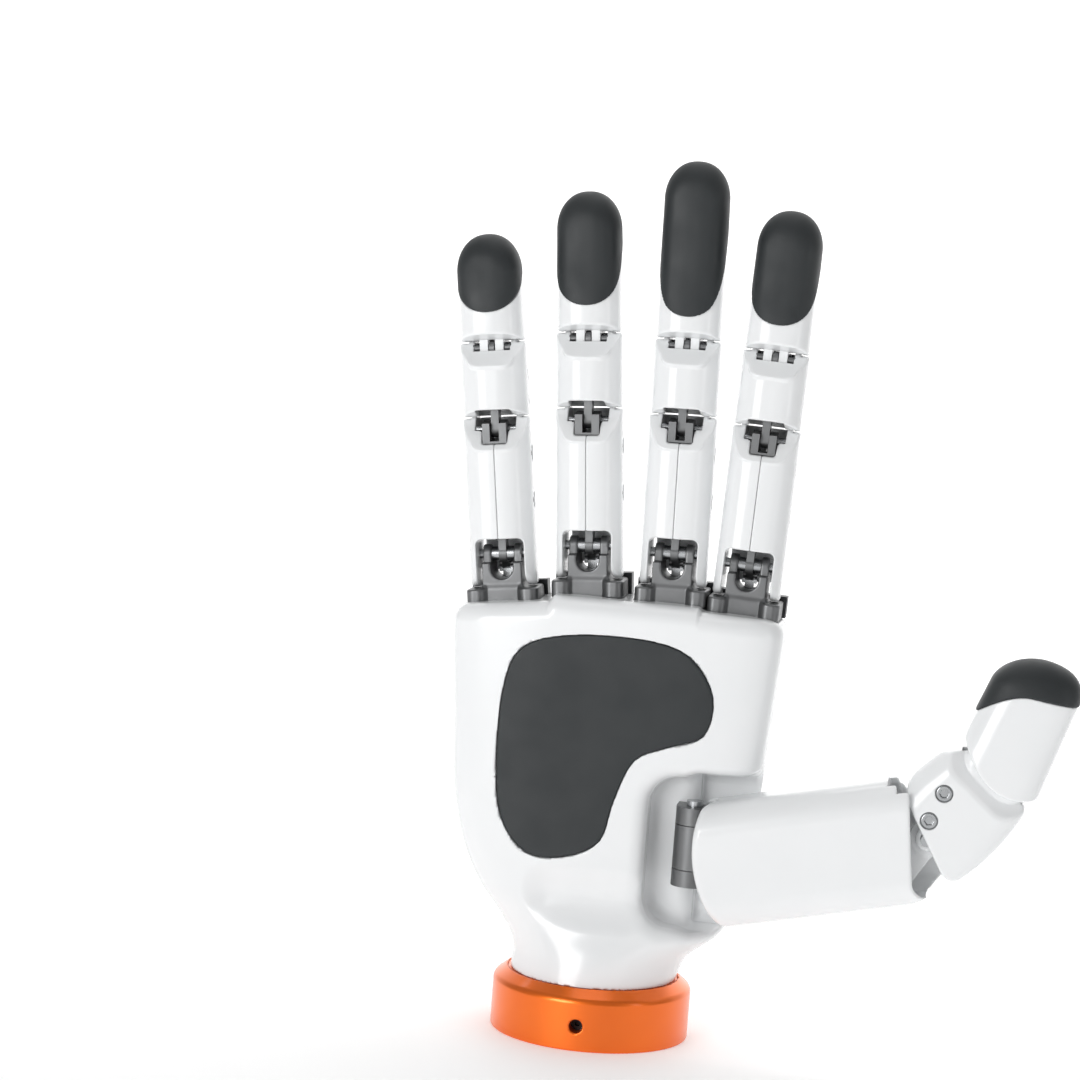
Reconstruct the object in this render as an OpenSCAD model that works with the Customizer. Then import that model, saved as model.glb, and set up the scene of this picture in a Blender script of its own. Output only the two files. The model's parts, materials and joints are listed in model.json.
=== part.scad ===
// Dexterous robot hand, right hand, fingers open.
// Frame: origin at the centre of the wrist ring's mounting face, +Z along the hand to the
// fingertips, palm facing -Y, thumb towards +X. Millimetres.

/* [Wrist] */
// Outer diameter of the wrist ring
ring_d = 51; // [49:1:60]
// Height of the wrist ring's straight wall
ring_h = 13; // [11:1:20]
// Width of the ring's sloping shoulder outside the palm's neck
ring_shoulder = 4.2; // [4:0.1:5]
// Diameter of the bolt circle in the wrist flange
bolt_circle = 31.5; // [30:0.5:32]
// Diameter of each wrist bolt hole
bolt_hole = 5; // [4:0.1:5.5]
// Diameter of the cable bore through the wrist
cable_bore = 20; // [14:1:21]

/* [Palm] */
// Width of the palm across the knuckles
palm_w = 85.5; // [85:0.5:90]
// Height of the palm's top face above the mounting face
palm_h = 112.8; // [112:0.2:118]
// Thickness of the palm from front to back
palm_t = 30; // [30:0.5:34]
// Wall of the palm shells
palm_wall = 2; // [1.8:0.1:2.2]
// Thickness of the rubber palm pad
pad_t = 1.2; // [0.8:0.1:1.2]

/* [Fingers] */
// Width of a finger's first segment
finger_w = 17.2; // [17:0.1:17.6]
// Depth of a finger's first segment from palm side to back
finger_t = 16.5; // [16:0.1:17]
// Corner radius of a finger's section
finger_r = 5.6; // [5:0.1:6]
// Wall of the finger shells
finger_wall = 1.6; // [1.5:0.05:1.7]
// Length from the knuckle pivot to the end of the first segment
proximal_len = 35.2; // [34:0.2:38]
// Length of the middle segment
middle_len = 19.2; // [19:0.2:22]
// Length of the shortest fingertip
little_tip = 27; // [25:0.5:30]
// Length of the ring finger's and index finger's tips
ring_tip = 35.2; // [32:0.5:38]
// Length of the longest fingertip
long_tip = 44.5; // [40:0.5:46]
// Distance from the start of a fingertip to its pad on the palm side
pad_start = 7.3; // [6:0.1:9]

/* [Joints] */
// Diameter of the knuckle pins
knuckle_pin = 2.4; // [2.2:0.1:2.6]
// Diameter of the pins in the finger joints
finger_pin = 2; // [1.8:0.1:2.2]
// Radial clearance of a pin in a part that turns on it
running_fit = 0.05; // [0.03:0.01:0.08]
// Gap between parts that move past each other
gap = 0.35; // [0.3:0.05:0.4]
// Length of the drive lever's crank from the knuckle pin
crank = 4.5; // [4.3:0.1:4.7]
// Diameter of the finger push rods
rod_d = 2.4; // [2:0.1:2.6]

/* [Thumb] */
// Distance of the thumb's hinge from the middle of the palm
thumb_x = 23.9; // [23:0.1:25]
// Length of the thumb from its hinge to its first bending joint
thumb_len = 60.5; // [56:0.5:64]
// Width of the thumb's first segment from side to side
thumb_w = 22; // [21:0.5:22.5]
// Depth of the thumb's first segment
thumb_t = 31.6; // [30:0.2:32]
// Length of the thumb's second segment between its joints
thumb_mid = 24.9; // [24:0.1:28]
// Length of the thumb's tip from its joint
thumb_tip = 29.2; // [27:0.2:34]
// Diameter of the thumb's hinge pin
thumb_pin = 3.4; // [3:0.1:3.8]

/* [Hidden] */
$fn = 48;
eps = 0.01;
hair = 0.02;

// Each finger: pivot across the palm, pivot below or above the palm's top, lean in degrees
// (towards the thumb is positive), length of its tip
LITTLE = [-31.4, 8.2, -7.1, little_tip];
RING = [-9.3, 12.3, -4.4, ring_tip];
MIDDLE = [12.7, 12.2, -0.9, long_tip];
INDEX = [32, 10.9, 2.5, ring_tip];
FINGERS = [LITTLE, RING, MIDDLE, INDEX];

WHITE = "whitesmoke";
BLACK = [0.22, 0.23, 0.24];
GREY = [0.48, 0.48, 0.47];
STEEL = "silver";
ORANGE = [1, 0.47, 0.06];

// Wrist
neck_d = ring_d - 2 * ring_shoulder;
ring_cone = 2.8;
ring_top = ring_h + ring_cone;
groove = 0.6;
neck_z = ring_top - groove + 0.05;
flange_t = 8.6;
seat_r = neck_d / 2;
spigot_r = neck_d / 2 - 3.2;

// Palm
split_y = 5;
hollow_drop = 7.8;
hollow_top_z = palm_h - hollow_drop;
finger_y = 0;
base_drop = 12.3;
seat_sink = 0.8;
base_t = 3.7;
base_w = 18.4;
base_d = 13.4;
rail_y = base_d / 2 + 0.1;
rail_t = 4.2;
rail_w = base_w + 1.4;
pedestal_w = 10;
pedestal_t = 3.6;
window_w = 5.8;
ear_r = 2.5;

// Palm frame and what it carries
actuator_r = 4.75;
rod_y = 4.2;
frame_y = rod_y + actuator_r + 0.05;
frame_t = 2;

// Finger segments
middle_w = finger_w - 0.4;
middle_t = finger_t - 0.3;
tip_w = finger_w - 0.9;
tip_t = finger_t - 0.5;
hinge_y = -2;
joint_bevel = 2;
pip_bevel = 8.2;
dip_bevel = 5.4;
pip_z = proximal_len - (pip_bevel - joint_bevel) / 2;
dip_from_end = (dip_bevel - joint_bevel) / 2;
middle_end = proximal_len + middle_len;
dip_z = middle_end - dip_from_end;
pip_r = middle_t / 2 - hinge_y - finger_wall - gap;
dip_r = tip_t / 2 - hinge_y - finger_wall - gap;
pip_knuckle_w = middle_w - 2 * finger_wall - 2 * gap;
dip_knuckle_w = tip_w - 2 * finger_wall - 2 * gap;
pip_window = 10.4;
dip_window = 9.4;
fork_w = 6.2;
fork_slot = 1.7;
lever_w = 1.9;
slot_w = 12;
slot_top = 4;
slot_back = 6.45;
yoke_w = 6.2;
tongue_w = 2;
screw_z = [13.5, 25.5];

// Thumb
thumb_y = -9;
thumb_lean = 13.3;
thumb_mid_bend = 36.7;
thumb_tip_bend = 20;
thumb_mid_w = thumb_w - 4.6;
thumb_mid_t = 25.4;
thumb_tip_w = thumb_mid_w;
thumb_tip_t = 24;
thumb_r = 7.6;
lug_r = 4.7;
lug_low = [42, 46.2];
lug_high = [57.8, 62.2];
thumb_end = 1.8;
thumb_lip = 3.2;
thumb_scoop = 15.2;
thumb_foot_z = (lug_low[0] + lug_high[1]) / 2;
recess_z = [31, 69.8];
recess_floor = thumb_y + lug_r + 0.6;
recess_deep = thumb_y + thumb_w / 2 + 0.6;
recess_x = thumb_x - sqrt(pow(thumb_w / 2, 2) + pow(thumb_end, 2)) - 0.5;
recess_step = thumb_x + 0.4;

// ---------- helpers ----------

// Plane figure w wide and d deep with round corners
module rounded(w, d, r) {
    square([w - 2 * r, d], center = true);
    square([w, d - 2 * r], center = true);
    for (sx = [-1, 1], sy = [-1, 1])
        translate([sx * (w / 2 - r), sy * (d / 2 - r)]) circle(r = r);
}

// Round bar along X, centred at the origin
module bar_x(d, l) {
    rotate([0, 90, 0]) cylinder(d = d, h = l, center = true);
}

// Profile drawn in the Y-Z plane and extruded l wide along X
module side(l) {
    rotate([90, 0, 90]) linear_extrude(l, center = true) children();
}

function sgn_pow(v, p) = sign(v) * pow(abs(v), p);

// Points of one superellipse ring: centre, half axes, exponent and height
function ring_points(cx, cy, a, b, n, z, count) = [
    for (i = [0:count - 1]) let (t = 360 * (i + 0.5) / count)
        [cx + a * sgn_pow(cos(t), 2 / n), cy + b * sgn_pow(sin(t), 2 / n), z]];

// Closed solid through a list of rings with the same number of points
module loft(rings) {
    count = len(rings[0]);
    last = len(rings) - 1;
    points = [for (ring = rings) for (p = ring) p];
    sides = [for (j = [0:last - 1]) for (i = [0:count - 1]) let (k = (i + 1) % count)
        [j * count + i, (j + 1) * count + i, (j + 1) * count + k, j * count + k]];
    bottom = [[for (i = [0:count - 1]) i]];
    top = [[for (i = [count - 1:-1:0]) last * count + i]];
    polyhedron(points = points, faces = concat(sides, bottom, top));
}

// Smooth interpolation in a table of rows [z, v1, v2, ...]: column c at height z
function row_at(z, table, i = 0) =
    i >= len(table) - 2 || z <= table[i + 1][0] ? i : row_at(z, table, i + 1);
function slope(table, i, c) =
    let (a = max(i - 1, 0), b = min(i + 1, len(table) - 1))
    (table[b][c] - table[a][c]) / (table[b][0] - table[a][0]);
function smooth(z, table, c) =
    let (i = row_at(z, table), h = table[i + 1][0] - table[i][0],
         t = min(max((z - table[i][0]) / h, 0), 1))
    (1 + 2 * t) * pow(1 - t, 2) * table[i][c] + t * pow(1 - t, 2) * h * slope(table, i, c)
    + t * t * (3 - 2 * t) * table[i + 1][c] + t * t * (t - 1) * h * slope(table, i + 1, c);

// Puts a finger's parts at its knuckle pivot, leaning with the finger
module at_finger(f) {
    translate([f[0], finger_y, palm_h + f[1]]) rotate([0, f[2], 0]) children();
}

// ---------- palm ----------

// Palm outline: height, edge on the little finger's side, edge on the thumb's side,
// half thickness, squareness of the section
PALM = [
    [neck_z, -neck_d / 2, neck_d / 2, neck_d / 2, 2],
    [22, -neck_d / 2 + 0.2, neck_d / 2 + 2.7, neck_d / 2 - 0.9, 2.1],
    [29, -24.8, 32, 18, 2.5],
    [36, -30.2, 35.5, palm_t / 2 + 1.3, 3],
    [45, -palm_w / 2 + 8, palm_w / 2 - 5.6, palm_t / 2 + 0.4, 3.6],
    [57, -palm_w / 2 + 4.6, palm_w / 2 - 4.3, palm_t / 2, 4],
    [82, -palm_w / 2 + 2.4, palm_w / 2 - 2.2, palm_t / 2, 4.4],
    [palm_h, -palm_w / 2, palm_w / 2 + 0.3, palm_t / 2, 4.6]];
palm_points = 40;
palm_edge = 4;
PALM_Z = [neck_z, 19.5, 22, 25, 29, 33, 38, 45, 54, 66, 82, 96];

function palm_ring(z, inset, shape_z) = ring_points(
    (smooth(shape_z, PALM, 1) + smooth(shape_z, PALM, 2)) / 2, 0,
    (smooth(shape_z, PALM, 2) - smooth(shape_z, PALM, 1)) / 2 - inset,
    smooth(shape_z, PALM, 3) - inset, smooth(shape_z, PALM, 4), z, palm_points);

// Palm form, inset by a wall and closed at a height with a rounded edge
module palm_form(inset, bottom, top) {
    edge = max(palm_edge - inset, 0.8);
    heights = [for (z = PALM_Z) if (z < top - edge - 2) max(z, bottom)];
    loft(concat(
        [for (i = [0:len(heights) - 1])
            palm_ring(i == 0 ? bottom : heights[i], inset, heights[i])],
        [for (a = [0:30:90])
            palm_ring(top - edge * (1 - sin(a)), inset + edge * (1 - cos(a)), top)]));
}

// Space that the thumb's root swings through, grown by a wall
module thumb_recess(grow) {
    z0 = recess_z[0] - grow;
    z1 = recess_z[1] + grow;
    x0 = recess_x - grow;
    far = 60;
    r = thumb_r + grow;
    difference() {
        translate([0, recess_deep + grow, 0]) rotate([90, 0, 0]) linear_extrude(40) union() {
            translate([x0 + r, z0]) square([far - x0 - r, z1 - z0]);
            translate([x0, z0 + r]) square([r, z1 - z0 - 2 * r]);
            for (z = [z0 + r, z1 - r]) translate([x0 + r, z]) circle(r = r);
        }
        translate([x0 - 5, recess_floor + grow, z0 - 5])
            cube([recess_step - grow - x0 + 5, 20, z1 - z0 + 10]);
    }
}

// Outline of the palm pad, seen from the front: a broad top over a narrower leg
PAD_EDGE = [
    [-26.6, palm_h - 24.8], [-22.5, palm_h - 13.8], [-10, palm_h - 9.5], [8, palm_h - 9],
    [20, palm_h - 12.2], [26.6, palm_h - 21.8], [25, palm_h - 31.8], [16, palm_h - 35.6],
    [8, palm_h - 39.8], [3.6, palm_h - 50.8], [1, 52], [-7, 47.2], [-17.5, 47],
    [-24.8, 55.5], [-27, 70]];

function wrap(v, i) = v[(i + len(v)) % len(v)];
function spline(p0, p1, p2, p3, t) = 0.5 * (2 * p1 + (p2 - p0) * t
    + (2 * p0 - 5 * p1 + 4 * p2 - p3) * t * t + (3 * p1 - p0 - 3 * p2 + p3) * t * t * t);
function closed_curve(v, steps) = [for (i = [0:len(v) - 1]) for (s = [0:steps - 1])
    spline(wrap(v, i - 1), wrap(v, i), wrap(v, i + 1), wrap(v, i + 2), s / steps)];

module pad_column(grow) {
    rotate([90, 0, 0]) linear_extrude(palm_t) offset(delta = grow)
        polygon(closed_curve(PAD_EDGE, 3));
}

// Top face lowered at the two outer fingers, and a shallow seat for each knuckle bracket
module bracket_seats() {
    at_finger(LITTLE) translate([-20, -palm_t, -base_drop + 0.7]) cube([33, 2 * palm_t, 20]);
    at_finger(INDEX) translate([-9.6, -palm_t, -base_drop]) cube([30, 2 * palm_t, 20]);
    for (f = FINGERS) at_finger(f) translate([0, 0, -base_drop - seat_sink]) {
        linear_extrude(20) rounded(base_w + 0.2, base_d + 0.2, 2.2);
        translate([-rail_w / 2 - 0.1, rail_y - 0.1, 0]) cube([rail_w + 0.2, rail_t + 0.2, 20]);
    }
}

module palm_hollow() {
    palm_form(palm_wall, neck_z - 1, hollow_top_z);
}

module palm_shell() color(WHITE) {
    difference() {
        union() {
            difference() {
                palm_form(0, neck_z, palm_h);
                palm_hollow();
            }
            intersection() {
                palm_form(0, neck_z, palm_h);
                thumb_recess(palm_wall);
            }
        }
        translate([-100, split_y, 0]) cube([200, 100, 200]);
        // shallow oval hollow at the root of the palm
        translate([0.4, -palm_t / 2 - 9.9, 33.2]) hull() for (s = [-1, 1])
            translate([6 * s, 0, 0]) sphere(r = 8.2, $fn = 40);
        thumb_recess(0);
        pad_pocket();
        bracket_seats();
        rod_holes();
        bracket_stems(0.15);
    }
}

// Pocket for the palm pad: everything in front of the form inset by the pad's thickness
module pad_pocket() {
    difference() {
        pad_column(0.15);
        palm_form(pad_t + 0.1, neck_z, palm_h);
    }
}

module palm_pad() color(BLACK) {
    intersection() {
        pad_column(0);
        difference() {
            palm_form(0, neck_z, palm_h);
            palm_form(pad_t, neck_z + 0.5, palm_h - 0.5);
        }
    }
}

module back_shell() color(WHITE) {
    difference() {
        palm_form(0, neck_z, palm_h);
        palm_hollow();
        translate([-100, split_y + hair - 100, 0]) cube([200, 100, 200]);
        bracket_seats();
        rod_holes();
        back_screw_places() {
            translate([0, 0, -20]) cylinder(d = 3.2, h = 40);
            translate([0, 0, palm_t / 2 - 1.3]) cylinder(d = 5.2, h = 10);
        }
    }
}

module back_screw_places() {
    for (p = [[-24, palm_h - 14.8], [24, palm_h - 14.8], [-24, palm_h - 50.8], [24, palm_h - 50.8]])
        translate([p[0], 0, p[1]]) rotate([-90, 0, 0]) children();
}

// ---------- wrist ----------

module wrist_ring() color(ORANGE) {
    difference() {
        rotate_extrude($fn = 96) polygon([
            [spigot_r, flange_t + 0.2], [seat_r, flange_t + 0.2], [seat_r, 0],
            [ring_d / 2 - 0.4, 0], [ring_d / 2, 0.4], [ring_d / 2, ring_h - 0.3],
            [ring_d / 2 - 0.3, ring_h], [neck_d / 2 + groove, ring_top],
            [neck_d / 2 + groove, ring_top - groove], [spigot_r, ring_top - groove]]);
        translate([0, 0, ring_h / 2 - 0.1]) rotate([90, 0, 0]) cylinder(d = 3.2, h = ring_d);
    }
}

module wrist_flange() color(GREY) {
    difference() {
        cylinder(r = seat_r - 0.1, h = flange_t, $fn = 96);
        translate([0, 0, -1]) cylinder(d = cable_bore, h = flange_t + 2);
        for (a = [45:90:315]) rotate([0, 0, a]) translate([bolt_circle / 2, 0, -1])
            cylinder(d = bolt_hole, h = flange_t + 2);
        translate([0, 0, ring_h / 2 - 0.1]) rotate([90, 0, 0])
            translate([0, 0, seat_r - 4]) cylinder(d = 3.1, h = 10);
    }
}

// ---------- palm frame and drives ----------

module palm_frame() color(GREY) {
    foot_r = spigot_r - 0.4;
    plate_w = 56;
    neck_w = 2 * sqrt(pow(foot_r, 2) - pow(frame_y + frame_t, 2)) - 1;
    difference() {
        union() {
            translate([0, frame_y + frame_t, 0]) rotate([90, 0, 0]) linear_extrude(frame_t)
                polygon([[-neck_w / 2, flange_t + 0.2], [neck_w / 2, flange_t + 0.2],
                    [neck_w / 2, 30], [plate_w / 2, plate_z], [plate_w / 2, hollow_top_z - 1.5],
                    [-plate_w / 2, hollow_top_z - 1.5], [-plate_w / 2, plate_z],
                    [-neck_w / 2, 30]]);
            translate([0, 0, flange_t + 0.1]) cylinder(r = foot_r, h = 3);
            for (p = board_posts()) translate([p[0], frame_y + 0.5, p[1]]) rotate([90, 0, 0])
                cylinder(d = 4, h = frame_y + 0.5 - board_y);
        }
        translate([0, 0, flange_t - 1]) cylinder(d = cable_bore + 3, h = 6);
        for (z = [22, 46]) translate([0, frame_y - 1, z]) rotate([-90, 0, 0])
            cylinder(d = 9, h = frame_t + 2);
        back_screw_places() cylinder(d = 2.6, h = 30);
    }
}

board_y = -3.2;
board_z = palm_h - 39.8;
plate_z = palm_h - 50.8;
function board_posts() = [for (x = [-16.6, 2.2], z = [board_z + 5, board_z + 27]) [x, z]];

module control_board() color("seagreen") {
    translate([-25, board_y - 1.6, board_z]) difference() {
        cube([36, 1.6, 32]);
        for (p = board_posts()) translate([p[0] + 25, -1, p[1] - board_z]) rotate([-90, 0, 0])
            cylinder(d = 2.2, h = 4);
    }
    for (p = [[-14, 15], [-3, 11]]) translate([p[0], board_y - 2.8, board_z + p[1]])
        cube([8, 1.2, 8]);
}

// Linear actuators: a round body with a nose that guides the finger's push rod
module finger_actuators() color([0.3, 0.3, 0.32]) {
    for (f = FINGERS) at_finger(f)
        translate([0, rod_y, -f[1] - hollow_drop - 2.7]) mirror([0, 0, 1]) difference() {
            union() {
                cylinder(r = actuator_r, h = 30);
                translate([0, 0, -2.2]) cylinder(r = 3.2, h = 3);
            }
            translate([0, 0, -3]) cylinder(d = rod_d + 2 * running_fit, h = 20);
        }
}

module rod_holes() {
    for (f = FINGERS) at_finger(f)
        translate([0, rod_y, -base_drop - 12]) cylinder(d = rod_d + 1.2, h = 14);
}

module thumb_motor() color([0.3, 0.3, 0.32]) {
    r = 8;
    translate([-13, frame_y - r - 0.1, 34]) {
        cylinder(r = r, h = 24);
        translate([0, 0, 24 - eps]) cylinder(r = r - 1, h = 5);
        translate([0, 0, 29 - 2 * eps]) cylinder(r = 1.5, h = 5);
    }
}

module palm_screws() color(STEEL) {
    back_screw_places() translate([0, 0, frame_y + frame_t + 0.05]) difference() {
        union() {
            cylinder(d = 2.5, h = palm_t / 2 - frame_y - frame_t - 1.4);
            translate([0, 0, palm_t / 2 - frame_y - frame_t - 1.35]) cylinder(d = 4.8, h = 0.9);
        }
        translate([0, 0, palm_t / 2 - frame_y - frame_t - 0.9]) cylinder(d = 2.3, h = 2, $fn = 6);
    }
    translate([0, 0, ring_h / 2 - 0.1]) rotate([90, 0, 0]) translate([0, 0, seat_r - 3.8])
        difference() {
            cylinder(d = 3, h = 4.4);
            translate([0, 0, 3.2]) cylinder(d = 1.6, h = 3, $fn = 6);
        }
}

// ---------- knuckles ----------

module knuckle_rail() color([0.33, 0.33, 0.34]) {
    for (f = FINGERS) at_finger(f) difference() {
        translate([-rail_w / 2, rail_y, -base_drop - seat_sink + 0.02])
            cube([rail_w, rail_t, base_t + seat_sink + 1]);
        for (x = [-6, 6]) translate([x, 0, -base_drop + base_t / 2]) rotate([-90, 0, 0])
            cylinder(d = 2, h = 30);
    }
}

// Bracket of one finger: base with round feet, pedestal, and two ears round a U window
module bracket() color(GREY) {
    top = -base_drop + base_t;
    difference() {
        union() {
            translate([0, 0, -base_drop - seat_sink + 0.02]) linear_extrude(base_t + seat_sink)
                rounded(base_w, base_d, 2.2);
            translate([-pedestal_w / 2, -pedestal_t, top - eps])
                cube([pedestal_w, pedestal_t + 5.9, -2.1 - top]);
            translate([-pedestal_w / 2, -ear_r, -3]) cube([pedestal_w, 2 * ear_r, 3]);
            bar_x(2 * ear_r, pedestal_w);
        }
        translate([-window_w / 2, -20, -6.3 + window_w / 2]) cube([window_w, 40, 20]);
        translate([0, 20, -6.3 + window_w / 2]) rotate([90, 0, 0]) cylinder(d = window_w, h = 40);
        bar_x(knuckle_pin, 40);
        translate([0, rod_y, -20]) cylinder(d = rod_d + 2 * gap, h = 20);
        for (x = [-7.2, 7.2]) translate([x, 0, -20]) cylinder(d = 2.4, h = 30);
    }
}

module hinge_pins() color(STEEL) {
    spacer_w = (window_w - lever_w) / 2 - 0.15;
    for (f = FINGERS) at_finger(f) {
        bar_x(knuckle_pin, slot_w + 3);
        for (sx = [-1, 1]) translate([sx * (lever_w / 2 + 0.1 + spacer_w / 2), 0, 0]) difference() {
            bar_x(3.8, spacer_w);
            bar_x(knuckle_pin, 10);
        }
    }
    translate([thumb_x, thumb_y, lug_low[0] - 0.4]) {
        cylinder(d = thumb_pin, h = lug_high[1] - lug_low[0] + 0.5);
        translate([0, 0, lug_high[1] - lug_low[0] + 0.42]) cylinder(d = 4.3, h = 1.5);
    }
}

// Push rod with a forked jaw that holds the crank pin of the drive lever
crank_rest = 37.5;
module rod() color(STEEL) {
    y0 = crank * cos(crank_rest);
    z0 = -crank * sin(crank_rest);
    jaw = lever_w / 2 + 0.15;
    back = crank + 1.25;
    difference() {
        union() {
            translate([0, rod_y, -34]) cylinder(d = rod_d, h = 34 + z0 - 1.6);
            translate([-jaw - 0.8, y0 - 0.75, z0 - 2.1]) cube([2 * jaw + 1.6, back + 0.42 - y0 + 0.75, 4.2]);
        }
        translate([-jaw, y0 - 5, z0 - 1.45]) cube([2 * jaw, back + 5 - y0, 10]);
        translate([-jaw, y0 - 5, z0 - 4]) cube([2 * jaw, 5.1, 14]);
        translate([-10, y0 - 5, z0 - 1.1]) cube([20, back + 5 - y0, 2.2]);
    }
}

// ---------- finger segments, drawn from the knuckle pivot with Z along the finger ----------

// Solid of revolution about the pivot that fills the hollow base of the next segment
module knuckle(r, w) {
    round_r = finger_r - finger_wall - gap;
    rotate([0, 90, 0]) rotate_extrude() intersection() {
        union() {
            translate([0, -w / 2]) square([r - round_r, w]);
            translate([0, -w / 2 + round_r]) square([r, w - 2 * round_r]);
            for (s = [-1, 1]) translate([r - round_r, s * (w / 2 - round_r)]) circle(r = round_r);
        }
        translate([0, -w]) square([2 * r, 2 * w]);
    }
}

// Everything on the palm side of a bevel that starts at the pivot's line and drops to the face
module bevel_cut(end, drop, t, w) {
    reach = t / 2 + hinge_y;
    k = 3;
    side(w) polygon([[hinge_y, end], [hinge_y - k * reach, end - k * drop],
        [hinge_y - k * reach, end + 30], [hinge_y + k * reach, end + 30],
        [hinge_y + k * reach, end + k * drop]]);
}

// Lower cut of a segment's base: its palm side rises by the joint bevel
module base_cut(start, t, w) {
    reach = t / 2 + hinge_y;
    side(w) polygon([[40, start], [hinge_y, start], [hinge_y - 2 * reach, start + 2 * joint_bevel],
        [-40, start - 40], [40, start - 40]]);
}

// Disc about a pivot, limited towards the palm side
module hinge_slot(z, r, w, front) {
    translate([0, hinge_y, z]) intersection() {
        bar_x(2 * r, w);
        translate([-w, -front, -30]) cube([2 * w, 60, 60]);
    }
}

module proximal_body() {
    end = proximal_len - gap;
    difference() {
        union() {
            intersection() {
                translate([0, 0, -finger_t / 2]) linear_extrude(end + finger_t / 2)
                    rounded(finger_w, finger_t, finger_r);
                union() {
                    bar_x(finger_t, 40);
                    translate([-20, -20, 0]) cube([40, 40, 100]);
                }
            }
            translate([0, hinge_y, pip_z]) knuckle(pip_r, pip_knuckle_w);
        }
        bevel_cut(end, pip_bevel, finger_t, 60);
        // space round the bracket, open to the palm side and below
        translate([-slot_w / 2, -20, -20]) cube([slot_w, 20 + slot_back, 20 + slot_top]);
        // hollow for the lever
        translate([-4.4, -4.6, slot_top - 1]) cube([8.8, 9.2, proximal_len - 6.6 - slot_top]);
        hinge_slot(pip_z, pip_r + 0.1, pip_window, 2.1);
        translate([-yoke_w / 2 - 0.2, -20, proximal_len - 6.9]) cube([yoke_w + 0.4, 19, 10]);
        bar_x(knuckle_pin + 2 * running_fit, slot_w + 3.4);
        translate([0, hinge_y, pip_z]) bar_x(finger_pin, pip_knuckle_w - 0.8);
        for (z = screw_z) translate([0, 0.6, z]) {
            bar_x(2.2, finger_w - 2.4);
            translate([finger_w / 2 - 1.2, 0, 0]) rotate([0, 90, 0]) cylinder(d = 4, h = 5);
        }
    }
}

module proximal_half(s) color(WHITE) {
    intersection() {
        proximal_body();
        translate([s > 0 ? hair / 2 : -30 - hair / 2, -30, -30]) cube([30, 60, 120]);
    }
}

// Drive lever: hub on the knuckle pin, crank to the push rod, spine and yoke at the next joint
module lever() color(GREY) {
    y0 = crank * cos(crank_rest);
    z0 = -crank * sin(crank_rest);
    difference() {
        union() {
            bar_x(4.6, lever_w);
            translate([-lever_w / 2, -2.1, 0]) cube([lever_w, 4.2, slot_top + 4]);
            // arm to the crank pin
            rotate([-crank_rest, 0, 0]) translate([-lever_w / 2, 0, -1.05]) cube([lever_w, crank, 2.1]);
            translate([0, y0, z0]) bar_x(2.3, lever_w);
            translate([0, y0, z0]) bar_x(1.6, lever_w + 1.8);
            // spine
            translate([-4.2, -3.6, slot_top + 1]) cube([8.4, 7.2, proximal_len - 9 - slot_top]);
            // yoke
            translate([-yoke_w / 2, -5.9, proximal_len - 6.7]) cube([yoke_w, 6.4, 3.6]);
            translate([-yoke_w / 2, -5.9, proximal_len - 4]) cube([yoke_w, 3.9, 2.4]);
            translate([-yoke_w / 2, -3.4, proximal_len - 8.6]) cube([yoke_w, 6, 2.9]);
            translate([0, hinge_y, pip_z]) bar_x(4.6, yoke_w);
        }
        bar_x(knuckle_pin + 2 * running_fit, 10);
        translate([0, hinge_y, pip_z]) bar_x(finger_pin, 20);
        // slot for the tongue of the next segment
        translate([-tongue_w / 2 - 0.2, -20, proximal_len - 6.2]) cube([tongue_w + 0.4, 40, 10]);
        for (z = screw_z) translate([0, 0.6, z]) bar_x(2, 20);
    }
}

module finger_pins() color(STEEL) {
    translate([0, hinge_y, pip_z]) bar_x(finger_pin - hair, pip_knuckle_w - 1.2);
    for (z = screw_z) translate([0, 0.6, z]) {
        translate([4.4, 0, 0]) rotate([0, 90, 0]) cylinder(d = 1.9, h = finger_w / 2 - 5.6 + eps);
        translate([finger_w / 2 - 1.18, 0, 0]) rotate([0, 90, 0]) difference() {
            cylinder(d = 3.6, h = 0.8);
            translate([0, 0, 0.3]) cylinder(d = 1.6, h = 2, $fn = 6);
        }
    }
}

// Middle segment: hollow base over the first knuckle, forked knuckle at its own end
module middle_body() color(WHITE) {
    end = middle_end - gap;
    hollow_top = pip_z + pip_r + 0.5;
    difference() {
        union() {
            translate([0, 0, proximal_len]) linear_extrude(middle_len - gap)
                rounded(middle_w, middle_t, finger_r - 0.1);
            translate([0, hinge_y, dip_z]) knuckle(dip_r, dip_knuckle_w);
        }
        bevel_cut(end, dip_bevel, middle_t, 60);
        base_cut(proximal_len, middle_t, 60);
        // hollow over the knuckle, closed towards the palm beside the notch
        translate([0, 0, proximal_len - 5]) linear_extrude(hollow_top - proximal_len + 5)
            intersection() {
                rounded(middle_w - 2 * finger_wall, middle_t - 2 * finger_wall,
                    finger_r - finger_wall);
                union() {
                    translate([-20, hinge_y]) square(40);
                    translate([-4.5, -20]) square([9, 40]);
                }
            }
        // notch over the yoke on the palm side
        translate([-4.5, -20, proximal_len - 1]) cube([9, 18, joint_bevel + 2.9]);
        hinge_slot(dip_z, dip_r + 0.1, dip_window, 2.1);
        translate([-tongue_w / 2 - 0.1, -3.9, proximal_len]) cube([tongue_w + 0.2, 6.5, 12]);
        translate([0, hinge_y, dip_z]) bar_x(finger_pin, dip_knuckle_w - 1.6);
        for (z = [4.2, 10.6]) translate([middle_w / 2 - 1, 1.6, proximal_len + z])
            rotate([0, 90, 0]) cylinder(d = 3, h = 5);
    }
}

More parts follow.
